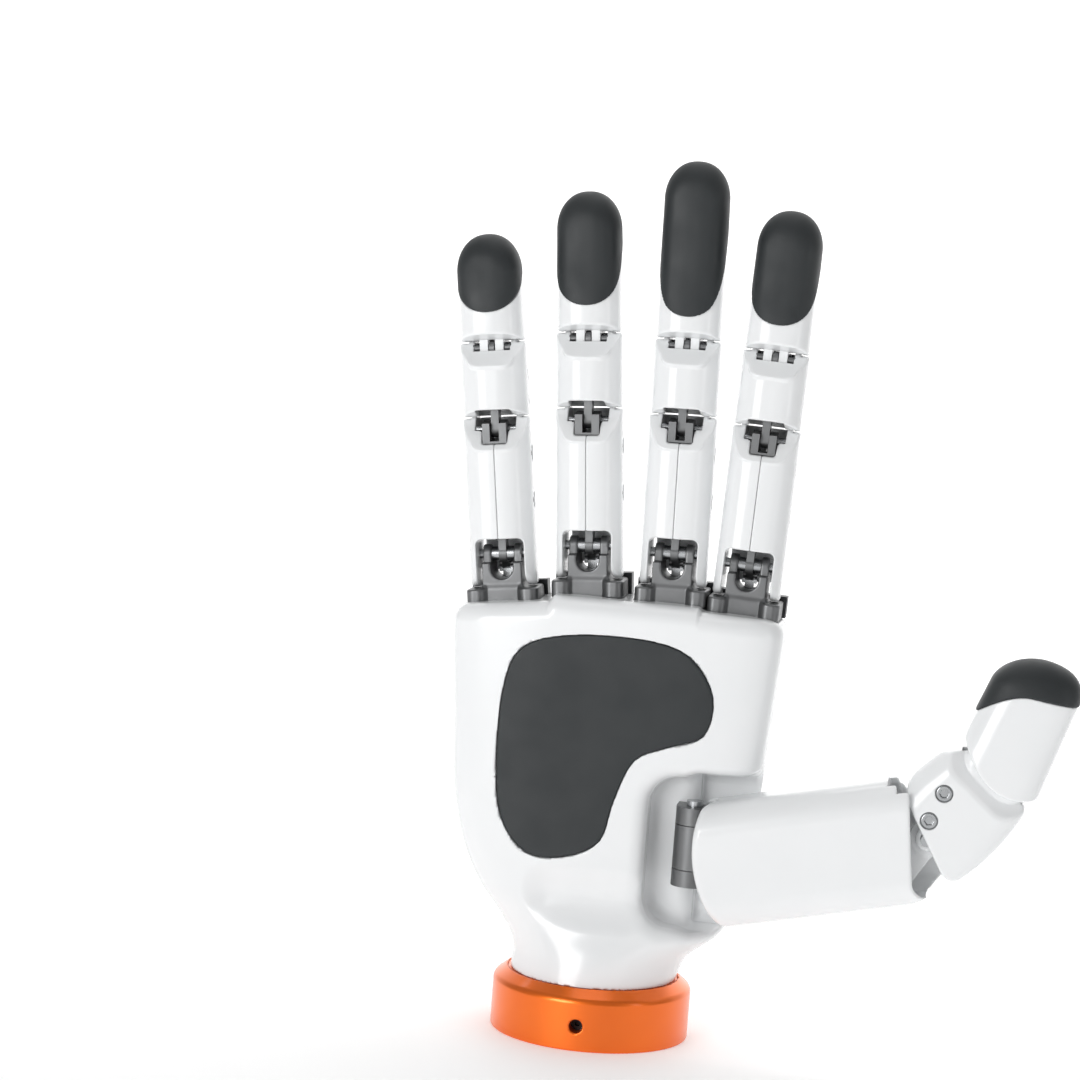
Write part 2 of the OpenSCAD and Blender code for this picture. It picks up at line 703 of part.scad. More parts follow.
// Link of the middle segment: tongue on the joint pin, block, blade inside the tip's fork,
// with the end joint's pin and the two side screws
module link() color(GREY) {
    block = [8.2, 6, 3.6];
    block_z = proximal_len + 1.9;
    hollow_top = pip_z + pip_r + 0.5;
    difference() {
        union() {
            translate([-block[0] / 2, -5.6, block_z]) cube(block);
            translate([-tongue_w / 2, -4.1, pip_z]) cube([tongue_w, 4.2, block_z - pip_z + 1]);
            translate([0, hinge_y, pip_z]) bar_x(4.2, tongue_w);
            translate([-tongue_w / 2, -2.5, block_z + 1]) cube([tongue_w, 5, 7.5]);
            translate([-fork_slot / 2 + 0.2, -2.5, hollow_top + 2]) cube([fork_slot - 0.4, 5, 4]);
            translate([-fork_slot / 2 + 0.2, hinge_y - 1.8, hollow_top + 2])
                cube([fork_slot - 0.4, 3.8, dip_z - hollow_top - 2]);
            translate([0, hinge_y, dip_z]) bar_x(3.8, fork_slot - 0.4);
        }
        translate([0, hinge_y, pip_z]) bar_x(finger_pin + 2 * running_fit, 10);
        translate([0, hinge_y, dip_z]) bar_x(finger_pin, 10);
        // upper end of the tongue stops below the tip's fork
        translate([-10, -10, dip_z - dip_r - 0.1]) difference() {
            cube([20, 20, 3]);
            translate([10 - fork_slot / 2 + 0.2, -1, -1]) cube([fork_slot - 0.4, 30, 30]);
        }
    }
    translate([0, hinge_y, dip_z]) bar_x(finger_pin - hair, dip_knuckle_w - 2);
    for (z = [4.2, 10.6]) translate([middle_w / 2 - 0.98, 1.6, proximal_len + z])
        rotate([0, 90, 0]) difference() {
            cylinder(d = 2.8, h = 0.6);
            translate([0, 0, 0.2]) cylinder(d = 1.3, h = 2, $fn = 6);
        }
}

// Fingertip form: rounded section with a domed end, grown by a skin
module tip_form(w, t, l, start, skin, count) {
    dome = w * 0.56;
    shift = -0.06 * t;
    a = w / 2 + skin;
    b = t / 2 + skin;
    straight = l - dome;
    loft(concat(
        [for (s = [0, 0.5, 1]) ring_points(0, shift * s * s,
            a * (1 - 0.035 * s), b * (1 - 0.07 * s), 3.2, start + straight * s, count)],
        [for (q = [20, 40, 58, 72, 84]) ring_points(0, shift,
            a * 0.965 * pow(cos(q), 0.9), b * 0.93 * pow(cos(q), 0.9), 3.2 - 1.2 * sin(q),
            start + straight + (dome + skin) * sin(q), count)]));
}

// Everything on the pad's side of the slanted joint between shell and pad
module pad_side(t, l, start, pad_from, back_off, w) {
    side(w) polygon([[-t, start + pad_from - 0.5 * t * (l - pad_from - back_off) / t],
        [t, start + l - back_off + 0.5 * t * (l - pad_from - back_off) / t],
        [t, start + 2 * l], [-3 * t, start + 2 * l],
        [-3 * t, start + pad_from - 0.5 * t * (l - pad_from - back_off) / t]]);
}

// Room of the pad: in front of the slanted joint and inside a column with a round lower end
module pad_room(l, lift) {
    r = tip_w / 2 + 0.4;
    low = middle_end + pad_start + r;
    intersection() {
        translate([0, 0, lift]) pad_side(tip_t, l, middle_end, pad_start, 2.5, 40);
        translate([0, 30, lift]) rotate([90, 0, 0]) linear_extrude(60) {
            translate([0, low]) circle(r = r - lift);
            translate([lift - r, low]) square([2 * (r - lift), l]);
        }
    }
}

module tip_shell(l) color(WHITE) {
    hollow_top = dip_z + dip_r + 0.5;
    difference() {
        tip_form(tip_w, tip_t, l, middle_end, 0, 28);
        pad_room(l, 0);
        base_cut(middle_end, tip_t, 60);
        // hollow over the knuckle, closed towards the palm, and room for the link's blade
        translate([0, 0, middle_end - 5]) linear_extrude(hollow_top - middle_end + 5)
            intersection() {
                rounded(tip_w - 2 * finger_wall, tip_t - 2 * finger_wall,
                    finger_r - finger_wall);
                translate([-20, hinge_y]) square(40);
            }
        translate([0, hinge_y, dip_z]) bar_x(4.6, fork_slot);
    }
    // fork on the end joint's pin
    difference() {
        union() {
            hinge_slot(dip_z, dip_r - gap, fork_w, 1.7);
            translate([-fork_w / 2, hinge_y - 1.7, dip_z]) cube([fork_w, 6, hollow_top - dip_z + 0.6]);
        }
        translate([-fork_slot / 2, -20, dip_z - 20]) cube([fork_slot, 40, 20 + dip_r]);
        translate([0, hinge_y, dip_z]) bar_x(finger_pin + 2 * running_fit, 20);
        translate([-20, -20, hollow_top + 0.4]) cube([40, 40, 20]);
    }
}

module tip_pad(l) color(BLACK) {
    intersection() {
        tip_form(tip_w, tip_t, l, middle_end, 0.3, 28);
        pad_room(l, hair);
    }
}

// ---------- thumb ----------

// Frame of the thumb's first segment: Z along it, palm side -Y, origin at its bending joint
module at_thumb() {
    translate([thumb_x + thumb_len * cos(thumb_lean), thumb_y, thumb_joint_z])
        rotate([0, 90 - thumb_lean, 0]) rotate([0, 0, -90]) children();
}
thumb_joint_z = 60.8;

module at_thumb_mid() {
    at_thumb() rotate([thumb_mid_bend, 0, 0]) children();
}

module at_thumb_tip() {
    at_thumb_mid() translate([0, 0, thumb_mid]) rotate([thumb_tip_bend, 0, 0]) children();
}

// Lugs' stems that pass through the floor of the recess
module bracket_stems(grow) {
    for (lug = [lug_low, lug_high])
        translate([thumb_x - 4.7 - grow, thumb_y, lug[0] - grow])
            cube([3.4 + 2 * grow, recess_floor + palm_wall + 1 - thumb_y, lug[1] - lug[0] + 2 * grow]);
}

module thumb_bracket() color(GREY) {
    plate_y = recess_floor + palm_wall + 0.1;
    difference() {
        union() {
            for (lug = [lug_low, lug_high]) translate([thumb_x, thumb_y, lug[0]])
                cylinder(r = lug_r, h = lug[1] - lug[0]);
            bracket_stems(0);
            translate([recess_x - 0.6, plate_y, lug_low[0] - 2])
                cube([recess_step - palm_wall - 0.2 - recess_x + 0.6, 2.4, lug_high[1] - lug_low[0] + 4]);
            translate([recess_x, plate_y, thumb_foot_z - 4]) cube([8, frame_y - plate_y - 0.05, 8]);
        }
        translate([thumb_x, thumb_y, 0]) cylinder(d = thumb_pin, h = 100);
    }
}

module thumb_knuckle() color(GREY) {
    low = lug_low[1] + 0.2;
    tall = lug_high[0] - lug_low[1] - 0.4;
    translate([thumb_x, thumb_y, low]) difference() {
        union() {
            cylinder(r = lug_r, h = tall);
            translate([0, -lug_r, 0]) cube([14, 2 * lug_r, tall]);
        }
        translate([0, 0, -1]) cylinder(d = thumb_pin + 2 * running_fit, h = tall + 2);
    }
}

// Lug inside the first segment's open end that holds the bending joint's pin
module thumb_lug() {
    bar_x(9, 6.2);
    rotate([45, 0, 0]) translate([-3, -3.5, -17]) cube([6, 7, 17]);
}

module thumb_base_shell() color(WHITE) {
    left_r = thumb_len / 2 + 0.2;
    difference() {
        union() {
        at_thumb() difference() {
            intersection() {
                translate([0, 0, -thumb_len - 5]) linear_extrude(thumb_len + 5 + thumb_lip)
                    rounded(thumb_w, thumb_t, thumb_r);
                translate([0, 0, -thumb_len + thumb_end + left_r]) union() {
                    bar_x(2 * left_r, 60);
                    translate([-40, -40, 0]) cube([80, 80, 80]);
                }
            }
            // scoop that the second segment turns in, open to the palm side
            bar_x(2 * thumb_scoop, thumb_w - 4);
            translate([-thumb_w / 2 + 2, -40, -7.5]) cube([thumb_w - 4, 40, 40]);
            // front wall and palm side stop short of the joint, the back corner is eased
            translate([thumb_w / 2 - 2.2, -40, -4]) cube([10, 50, 40]);
            translate([-40, -40, -1]) cube([80, 36, 40]);
            side(60) polygon([[10.6, thumb_lip + 0.1], [13.6, 1.6], [thumb_t / 2 + 0.1, -3],
                [40, -3], [40, 20], [10.6, 20]]);
            // motor bay
            translate([0, 0, -thumb_scoop - 27]) cylinder(d = 13, h = 28);
        }
        at_thumb() difference() {
            thumb_lug();
            bar_x(3.2, 20);
        }
        }
        translate([thumb_x, thumb_y, 0]) cylinder(r = lug_r + 0.6, h = 100);
        translate([thumb_x, thumb_y - lug_r - 0.05, lug_low[1] + 0.15])
            cube([14.05, 2 * lug_r + 0.1, lug_high[0] - lug_low[1] - 0.3]);
    }
}

// Cross pin of the bending joint and the gear motor in the first segment
module thumb_base_pin() color(STEEL) at_thumb() {
    bar_x(3.2 - hair, thumb_mid_w - 2.4);
    translate([0, 0, -thumb_scoop - 26.9]) {
        cylinder(d = 12.8, h = 24);
        translate([0, 0, 24 - eps]) cylinder(d = 4, h = 2);
    }
}

thumb_knuckle_r = thumb_tip_t / 2 - 1.8 - gap;

module thumb_middle_shell() color(WHITE) at_thumb_mid() {
    slant = 27;
    end = thumb_mid - 2;
    difference() {
        union() {
            intersection() {
                translate([0, 0, -8]) linear_extrude(8 + end)
                    rounded(thumb_mid_w, thumb_mid_t, thumb_r - 1);
                translate([0, 0, -1]) rotate([-slant, 0, 0])
                    translate([-40, -40, 0]) cube([80, 80, 80]);
                bar_x_hull();
            }
            translate([0, 0, thumb_mid]) thumb_round(thumb_knuckle_r, thumb_tip_w - 4.4);
        }
        // palm side bevel at the tip's joint
        side(60) polygon([[-thumb_mid_t / 2 + 4, end], [-thumb_mid_t, end - 18],
            [-thumb_mid_t, end + 40], [-thumb_mid_t / 2 + 4, end + 40]]);
        bar_x(3.2 + 2 * running_fit, thumb_mid_w - 1.8);
        // slot for the first segment's lug
        bar_x(9 + 2 * gap, 6.2 + 2 * gap);
        translate([-3.3, -7.6, -20]) cube([6.6, 40, 20 + 3.2]);
        // slot for the tip's tongue
        translate([-3.2, 0, thumb_mid]) rotate([0, 90, 0])
            cylinder(r = thumb_knuckle_r + 0.2, h = 6.4);
        translate([0, 0, thumb_mid]) bar_x(3, thumb_tip_w - 6);
        for (p = [[2.6, 5], [0.2, 12.4]]) translate([thumb_mid_w / 2 - 1.4, p[0] - 1.4, p[1]])
            rotate([0, 90, 0]) cylinder(d = 4.4, h = 5);
    }
}

// Keeps the second segment inside the scoop's radius below the joint
module bar_x_hull() {
    bar_x(2 * thumb_scoop - 1.2, 60);
    translate([-40, -40, 0]) cube([80, 80, 80]);
}

module thumb_round(r, w) {
    c = 4;
    rotate([0, 90, 0]) rotate_extrude() intersection() {
        union() {
            translate([0, -w / 2]) square([r - c, w]);
            translate([0, -w / 2 + c]) square([r, w - 2 * c]);
            for (s = [-1, 1]) translate([r - c, s * (w / 2 - c)]) circle(r = c);
        }
        translate([0, -w]) square([2 * r, 2 * w]);
    }
}

module thumb_middle_pins() color(STEEL) at_thumb_mid() {
    translate([0, 0, thumb_mid]) bar_x(3 - hair, thumb_tip_w - 6.4);
    for (p = [[2.6, 5], [0.2, 12.4]]) translate([thumb_mid_w / 2 - 1.38, p[0] - 1.4, p[1]])
        rotate([0, 90, 0]) difference() {
            cylinder(d = 4.2, h = 1.1);
            translate([0, 0, 0.4]) cylinder(d = 2, h = 2, $fn = 6);
        }
}

module thumb_tip_base(z_lift) {
    translate([0, 0, 0.5 + z_lift]) rotate([-26, 0, 0]) translate([-40, -40, -80]) cube([80, 80, 80]);
}

module thumb_tip_shell() color(WHITE) at_thumb_tip() {
    hollow = thumb_knuckle_r + gap;
    difference() {
        tip_form(thumb_tip_w, thumb_tip_t, thumb_tip + 8, -8, 0, 32);
        thumb_pad_side(0);
        thumb_tip_base(0);
        thumb_round(hollow, thumb_tip_w - 3.6);
        translate([0, 0, -20]) linear_extrude(20)
            rounded(thumb_tip_w - 3.6, 2 * hollow, 4);
    }
    // tongue on the end joint's pin
    difference() {
        translate([-2.8, 0, 0]) rotate([0, 90, 0]) cylinder(r = thumb_knuckle_r + 0.6, h = 5.6);
        translate([-20, -40, -40]) cube([40, 33, 80]);
        translate([0, 0, -0.5]) rotate([-26, 0, 0]) translate([-20, -40, -80]) cube([40, 50, 76]);
        translate([-20, -20, -40]) cube([40, 40, 36]);
        bar_x(3 + 2 * running_fit, 20);
    }
}

module thumb_pad_side(lift) {
    side(60) polygon([[-20, 7.5 + lift], [20, 27.5 + lift], [20, 60], [-20, 60]]);
}

module thumb_tip_pad() color(BLACK) at_thumb_tip() {
    intersection() {
        tip_form(thumb_tip_w, thumb_tip_t, thumb_tip + 8, -8, 0.3, 32);
        thumb_pad_side(hair);
    }
}

// ---------- nodes ----------

palm_shell();
back_shell();
palm_pad();
wrist_ring();
wrist_flange();
palm_frame();
knuckle_rail();
at_finger(LITTLE) bracket();  // little_bracket
at_finger(RING) bracket();  // ring_bracket
at_finger(MIDDLE) bracket();  // middle_bracket
at_finger(INDEX) bracket();  // index_bracket
hinge_pins();
finger_actuators();
thumb_motor();
control_board();
thumb_bracket();
palm_screws();
at_finger(LITTLE) rod();  // little_rod
at_finger(LITTLE) proximal_half(-1);  // little_shell_left
at_finger(LITTLE) proximal_half(1);  // little_shell_right
at_finger(LITTLE) lever();  // little_lever
at_finger(LITTLE) finger_pins();  // little_pins
at_finger(LITTLE) middle_body();  // little_middle
at_finger(LITTLE) link();  // little_link
at_finger(LITTLE) tip_shell(LITTLE[3]);  // little_tip_shell
at_finger(LITTLE) tip_pad(LITTLE[3]);  // little_tip_pad
at_finger(RING) rod();  // ring_rod
at_finger(RING) proximal_half(-1);  // ring_shell_left
at_finger(RING) proximal_half(1);  // ring_shell_right
at_finger(RING) lever();  // ring_lever
at_finger(RING) finger_pins();  // ring_pins
at_finger(RING) middle_body();  // ring_middle
at_finger(RING) link();  // ring_link
at_finger(RING) tip_shell(RING[3]);  // ring_tip_shell
at_finger(RING) tip_pad(RING[3]);  // ring_tip_pad
at_finger(MIDDLE) rod();  // middle_rod
at_finger(MIDDLE) proximal_half(-1);  // middle_shell_left
at_finger(MIDDLE) proximal_half(1);  // middle_shell_right
at_finger(MIDDLE) lever();  // middle_lever
at_finger(MIDDLE) finger_pins();  // middle_pins
at_finger(MIDDLE) middle_body();  // middle_middle
at_finger(MIDDLE) link();  // middle_link
at_finger(MIDDLE) tip_shell(MIDDLE[3]);  // middle_tip_shell
at_finger(MIDDLE) tip_pad(MIDDLE[3]);  // middle_tip_pad
at_finger(INDEX) rod();  // index_rod
at_finger(INDEX) proximal_half(-1);  // index_shell_left
at_finger(INDEX) proximal_half(1);  // index_shell_right
at_finger(INDEX) lever();  // index_lever
at_finger(INDEX) finger_pins();  // index_pins
at_finger(INDEX) middle_body();  // index_middle
at_finger(INDEX) link();  // index_link
at_finger(INDEX) tip_shell(INDEX[3]);  // index_tip_shell
at_finger(INDEX) tip_pad(INDEX[3]);  // index_tip_pad
thumb_knuckle();
thumb_base_shell();
thumb_base_pin();
thumb_middle_shell();
thumb_middle_pins();
thumb_tip_shell();
thumb_tip_pad();
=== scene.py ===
"""A dexterous right robot hand, palm forward and fingers open, on a pale studio floor.

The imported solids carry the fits, pins and drives. The outer pieces that the eye reads first
(palm shells, finger shells, rubber tips, knuckle brackets, wrist ring and thumb) are made
here as rounded forms and take the place of their plain solids.

A form is a function that gives the depth at each of many points: negative inside, zero on the
surface. Sizes inside the classes are millimetres, as on a workshop drawing; meshes are in
metres.
"""
from __future__ import annotations

import json
import logging
import math
from dataclasses import dataclass
from enum import Enum
from functools import reduce
from typing import Callable

import bpy
import numpy as np
from mathutils import Matrix

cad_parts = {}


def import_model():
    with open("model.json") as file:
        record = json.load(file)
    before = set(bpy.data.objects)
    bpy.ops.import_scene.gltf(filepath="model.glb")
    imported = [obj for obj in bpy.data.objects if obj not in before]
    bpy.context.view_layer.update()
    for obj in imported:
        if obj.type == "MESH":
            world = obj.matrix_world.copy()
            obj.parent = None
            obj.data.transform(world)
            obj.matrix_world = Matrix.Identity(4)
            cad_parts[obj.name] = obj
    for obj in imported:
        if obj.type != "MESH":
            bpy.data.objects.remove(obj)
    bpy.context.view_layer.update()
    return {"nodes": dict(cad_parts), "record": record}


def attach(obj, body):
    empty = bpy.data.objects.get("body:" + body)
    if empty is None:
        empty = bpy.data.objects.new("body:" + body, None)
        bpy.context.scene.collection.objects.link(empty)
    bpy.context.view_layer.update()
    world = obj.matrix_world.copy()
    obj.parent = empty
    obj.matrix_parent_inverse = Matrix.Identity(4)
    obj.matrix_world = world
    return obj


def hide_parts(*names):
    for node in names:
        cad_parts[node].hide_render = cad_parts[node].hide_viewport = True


LOG = logging.getLogger("hand")
Array = np.ndarray
Field = Callable[[Array], Array]
Point = tuple[float, float, float]
Pair = tuple[float, float]
MM = 0.001
TINY = 1e-6


# ---------------------------------------------------------------- rounded forms

def shared(*depths: Array) -> Array:
    """What several forms share, with sharp edges: the greatest of their depths."""
    return reduce(np.maximum, depths)


def either(*depths: Array) -> Array:
    """Several forms together, with sharp corners: the least of their depths."""
    return reduce(np.minimum, depths)


def rounded_both(a: Array, b: Array, radius: float | Array) -> Array:
    """What two forms share, its edge rounded convex.

    Where both depths are less than the radius, the surface is the quarter circle that
    touches both: length of the two positive parts of depth plus radius, less the radius.

    Args:
        a, b: Depths below each form's surface, negative inside.
        radius: Edge radius in mm.
    Returns:
        Depth below the shared form's surface.
    """
    if np.max(radius) <= 0.0:
        return np.maximum(a, b)
    u = np.maximum(a + radius, 0.0)
    v = np.maximum(b + radius, 0.0)
    return np.minimum(np.maximum(a, b), -radius) + np.hypot(u, v)


def rounded_join(a: Array, b: Array, radius: float) -> Array:
    """Two forms together, with a hollow fillet where they meet."""
    return -rounded_both(-a, -b, radius)


def carve(a: Array, b: Array, radius: float | Array) -> Array:
    """Form a with form b taken out, the new edge rounded."""
    return rounded_both(a, -b, radius)


def rounded_sheet(x: Array, y: Array, width: float, depth: float, corner: float) -> Array:
    """Depth into a rectangle with round corners, centred on the origin.

    Outside it is the length of the positive parts of |x| and |y| less the core's halves;
    inside it is the nearer side; both less the corner radius.

    Args:
        x, y: Places across and along the sheet.
        width, depth: Whole sizes along x and y.
        corner: Radius of the corners.
    Returns:
        Depth below the outline, negative inside.
    """
    qx = np.abs(x) - (width / 2 - corner)
    qy = np.abs(y) - (depth / 2 - corner)
    outside = np.hypot(np.maximum(qx, 0.0), np.maximum(qy, 0.0))
    return outside + np.minimum(np.maximum(qx, qy), 0.0) - corner


@dataclass(frozen=True)
class Plan:
    """A rectangle with round corners about a centre, in mm."""

    centre: Pair
    size: Pair
    corner: float

    def depth(self, x: Array, y: Array) -> Array:
        """Depth below the rectangle's outline, negative inside."""
        return rounded_sheet(x - self.centre[0], y - self.centre[1], *self.size, self.corner)


@dataclass(frozen=True)
class Box:
    """A box between two corners, in mm, with its edges rounded."""

    low: Point
    high: Point
    edge: float = 0.0

    def depth(self, p: Array) -> Array:
        """Depth below the box's surface.

        Outside it is the length of the positive parts of |p - centre| less the core's
        halves; inside it is the nearest side; both less the edge radius.

        Args:
            p: Points in mm.
        Returns:
            Depth, negative inside.
        """
        low, high = np.array(self.low), np.array(self.high)
        q = np.abs(p - (low + high) / 2) - ((high - low) / 2 - self.edge)
        outside = np.linalg.norm(np.maximum(q, 0.0), axis=-1)
        return outside + np.minimum(q.max(axis=-1), 0.0) - self.edge


def bore(p: Array, y: float, z: float, radius: float) -> Array:
    """Depth into an endless round bar or hole along X: distance to its axis less the radius."""
    return np.hypot(p[:, 1] - y, p[:, 2] - z) - radius


def drum(p: Array, centre: Pair, radius: float, half: float, edge: float = 0.0,
         middle: float = 0.0) -> Array:
    """Depth into a drum along X with rounded rims.

    Args:
        p: Points in mm.
        centre: Y and Z of its axis.
        radius: Its radius.
        half: Half its length.
        edge: Radius of its rims.
        middle: X of its middle.
    Returns:
        Depth below its surface, negative inside.
    """
    return rounded_both(bore(p, *centre, radius), np.abs(p[:, 0] - middle) - half, edge)


def slope_of(form: Field, p: Array, step: float) -> Array:
    """A form's slope at each point: depth a step ahead less depth a step behind, over both.

    Args:
        form: Depth field.
        p: Points in mm.
        step: How far ahead and behind, in mm.
    Returns:
        The slope along X, Y and Z at each point.
    """
    slope = np.zeros_like(p)
    for axis in range(3):
        shift = np.zeros(3)
        shift[axis] = step
        slope[:, axis] = (form(p + shift) - form(p - shift)) / (2 * step)
    return slope


def true_depth(rough: Field, p: Array, step: float = 0.05) -> Array:
    """A rough depth divided by the length of its own slope, so that it reads in mm."""
    slope = slope_of(rough, p, step)
    return rough(p) / np.maximum(np.sqrt((slope ** 2).sum(axis=1)), TINY)


def smooth_table(z: Array, stations: Array, values: Array) -> Array:
    """A smooth curve through a table: cubic Hermite pieces with slopes from the neighbours.

    Args:
        z: Where the curve is read.
        stations: The table's heights, rising.
        values: The table's values at them.
    Returns:
        The curve at each z, held level beyond the table's ends.
    """
    slopes = np.gradient(values, stations)
    i = np.clip(np.searchsorted(stations, z) - 1, 0, len(stations) - 2)
    h = stations[i + 1] - stations[i]
    t = np.clip((z - stations[i]) / h, 0.0, 1.0)
    return ((1 + 2 * t) * (1 - t) ** 2 * values[i] + t * (1 - t) ** 2 * h * slopes[i]
            + t ** 2 * (3 - 2 * t) * values[i + 1] + t ** 2 * (t - 1) * h * slopes[i + 1])


@dataclass(frozen=True)
class DomedTip:
    """A column that narrows a little and closes in a dome, as a fingertip does.

    Its sections are superellipses, and the dome's outline is a circle to a power a little
    over two, so the form is level at its end.

    Attributes:
        start: Height where it begins, in mm.
        straight: Height of the column below the dome.
        dome: Height of the dome.
        halves: Half its width and half its depth.
        square: Squareness of the column's section, and how much the dome loses of it.
        bow: How far its middle moves in Y, from the share of the column and of the dome.
    """

    start: float
    straight: float
    dome: float
    halves: Pair
    square: Pair
    bow: Callable[[Array, Array], Array]
    taper: Pair = (0.035, 0.07)
    powers: Pair = (2.22, 0.45)

    def rough(self, p: Array) -> Array:
        """Section norm to a power plus dome height squared, the sum to a power, less one.

        Args:
            p: Points in mm.
        Returns:
            A number that is zero on the surface, negative inside.
        """
        t = np.clip((p[:, 2] - self.start) / self.straight, 0.0, 1.0)
        h = np.maximum(p[:, 2] - self.start - self.straight, 0.0) / self.dome
        n = self.square[0] - self.square[1] * np.minimum(h, 1.0)
        u = np.abs(p[:, 0]) / (self.halves[0] * (1 - self.taper[0] * t)) + TINY
        v = np.abs(p[:, 1] - self.bow(t, h)) / (self.halves[1] * (1 - self.taper[1] * t)) + TINY
        section = (u ** n + v ** n) ** (1 / n)
        return (section ** self.powers[0] + h ** 2) ** self.powers[1] - 1


# ---------------------------------------------------------------- skins

MARGIN = 1.5        # cells of room round a form's box
BATCH = 1_500_000   # most numbers worked out at once
SLIDES = 4          # times that the corners slide onto the surface
SLOPE_STEP = 0.02   # mm either side of a corner for its slope
LEAST_SLOPE = 0.25  # least square of a slope that a slide divides by
LONGEST = 0.5       # longest slide, in cells


@dataclass
class Skin:
    """A closed surface: corners in mm, four-sided faces, and a direction at each corner."""

    points: Array
    faces: Array
    normals: Array

    def placed(self, turn: Array, offset: Array) -> "Skin":
        """The same skin turned by a 3 by 3 matrix and moved."""
        return Skin(self.points @ turn.T + offset, self.faces, self.normals @ turn.T)


def net_of(depth: Array) -> tuple[Array, Array]:
    """A net of four-sided faces where the depth on a grid changes sign.

    Each cell that the surface crosses gets one corner, at the mean of the crossings on its
    twelve edges, and each crossed grid edge gets the face that joins its four cells.

    Args:
        depth: Depth at the grid's points, negative inside.
    Returns:
        Corners, counted in cells of the grid, and faces as rows of four corners.
    """
    counts = depth.shape
    cells = tuple(count - 1 for count in counts)
    total = np.zeros(cells + (3,))
    hits = np.zeros(cells)
    quads = []
    for axis in range(3):
        u, v = [i for i in range(3) if i != axis]
        a = np.take(depth, range(counts[axis] - 1), axis=axis)
        b = np.take(depth, range(1, counts[axis]), axis=axis)
        crossed = (a < 0) != (b < 0)
        at = np.moveaxis(np.indices(a.shape).astype(float), 0, -1)
        at[..., axis] += np.where(crossed, a / np.where(crossed, a - b, 1.0), 0.0)
        for du, dv in ((0, 0), (0, 1), (1, 0), (1, 1)):
            edge = [slice(None)] * 3
            edge[u], edge[v] = slice(du, du + cells[u]), slice(dv, dv + cells[v])
            mask = crossed[tuple(edge)]
            total += np.where(mask[..., None], at[tuple(edge)], 0.0)
            hits += mask
        inner = [slice(None)] * 3
        inner[u], inner[v] = slice(1, cells[u]), slice(1, cells[v])
        place = np.argwhere(crossed[tuple(inner)])
        leaves = (a < 0)[tuple(inner)][tuple(place.T)]
        place[:, [u, v]] += 1
        ring = []
        for du, dv in ((1, 1), (0, 1), (0, 0), (1, 0)):
            cell = place.copy()
            cell[:, u] -= du
            cell[:, v] -= dv
            ring.append(np.ravel_multi_index(tuple(cell.T), cells))
        quad = np.stack(ring, axis=-1)
        turned = ~leaves if axis != 1 else leaves
        quad[turned] = quad[turned][:, ::-1]
        quads.append(quad)
    used = np.flatnonzero(hits.ravel())
    renumber = np.full(hits.size, -1)
    renumber[used] = np.arange(len(used))
    corners = total.reshape(-1, 3)[used] / hits.ravel()[used][:, None]
    return corners, renumber[np.concatenate(quads)]


def skin_of(form: Field, low: Point, high: Point, pitch: float) -> Skin:
    """The surface of a form, as a net of four-sided faces with a direction at each corner.

    The form is sampled on a grid and a net is laid where it changes sign. The net's corners
    then slide onto the surface: each moves against the form's slope by depth times slope
    over the slope's square, half a cell at most. The last slope is the corner's direction.

    Args:
        form: Depth below the surface in mm, negative inside.
        low, high: Corners of a box that holds the whole form.
        pitch: Grid spacing in mm.
    Returns:
        The skin.
    """
    start = np.array(low, float) - MARGIN * pitch
    end = np.array(high, float) + MARGIN * pitch
    counts = np.ceil((end - start) / pitch).astype(int) + 1
    axes = [start[i] + pitch * np.arange(counts[i]) for i in range(3)]
    grid = np.stack(np.meshgrid(*axes, indexing="ij"), axis=-1)
    depth = np.concatenate([form(part.reshape(-1, 3)).reshape(part.shape[:3])
                            for part in np.array_split(grid, max(1, grid.size // BATCH))])
    corners, faces = net_of(depth)
    points = start + pitch * corners
    for _ in range(SLIDES):
        slope = slope_of(form, points, SLOPE_STEP)
        square = np.maximum((slope ** 2).sum(axis=1), LEAST_SLOPE)
        move = slope * (form(points) / square)[:, None]
        reach = np.linalg.norm(move, axis=1)
        points = points - move * np.minimum(1.0, LONGEST * pitch
                                            / np.maximum(reach, TINY))[:, None]
    normals = slope / np.maximum(np.linalg.norm(slope, axis=1), TINY)[:, None]
    return Skin(points, faces, normals)


# ---------------------------------------------------------------- finishes

TURNED_STRETCH = 14.0         # a lathe's rings: the grain is squeezed this much along Z
GRAIN_NOISE = (3.0, 0.55)     # detail and roughness of the fine grain
PATCH_NOISE = (2.0, 0.5)      # detail and roughness of the slow change in gloss
PATCH_RANGE = (0.3, 0.7)      # the part of the slow noise that is used
GLOSS_RANGE = (0.88, 1.14)    # roughness there, as shares of the finish's own
COAT_ROUGHNESS = 0.15         # lacquer, a little less than glossy
PLASTIC_IOR = 1.5             # typical of plastics, rubber and solder resist
MIX_SHARE, MIX_A, MIX_B, MIX_OUT = 0, 6, 7, 2  # the Mix node's sockets for colours


def linear(hex_colour: str) -> tuple[float, float, float, float]:
    """An sRGB hex colour as linear light.

    Up to 0.04045 the value is divided by 12.92; above that it is the value plus 0.055, over
    1.055, to the power 2.4.

    Args:
        hex_colour: Such as '#f4f4f2'.
    Returns:
        Linear red, green, blue and alpha.
    """
    value = np.array([int(hex_colour[i:i + 2], 16) for i in (1, 3, 5)]) / 255
    low = value / 12.92
    high = ((value + 0.055) / 1.055) ** 2.4
    return (*np.where(value <= 0.04045, low, high).tolist(), 1.0)


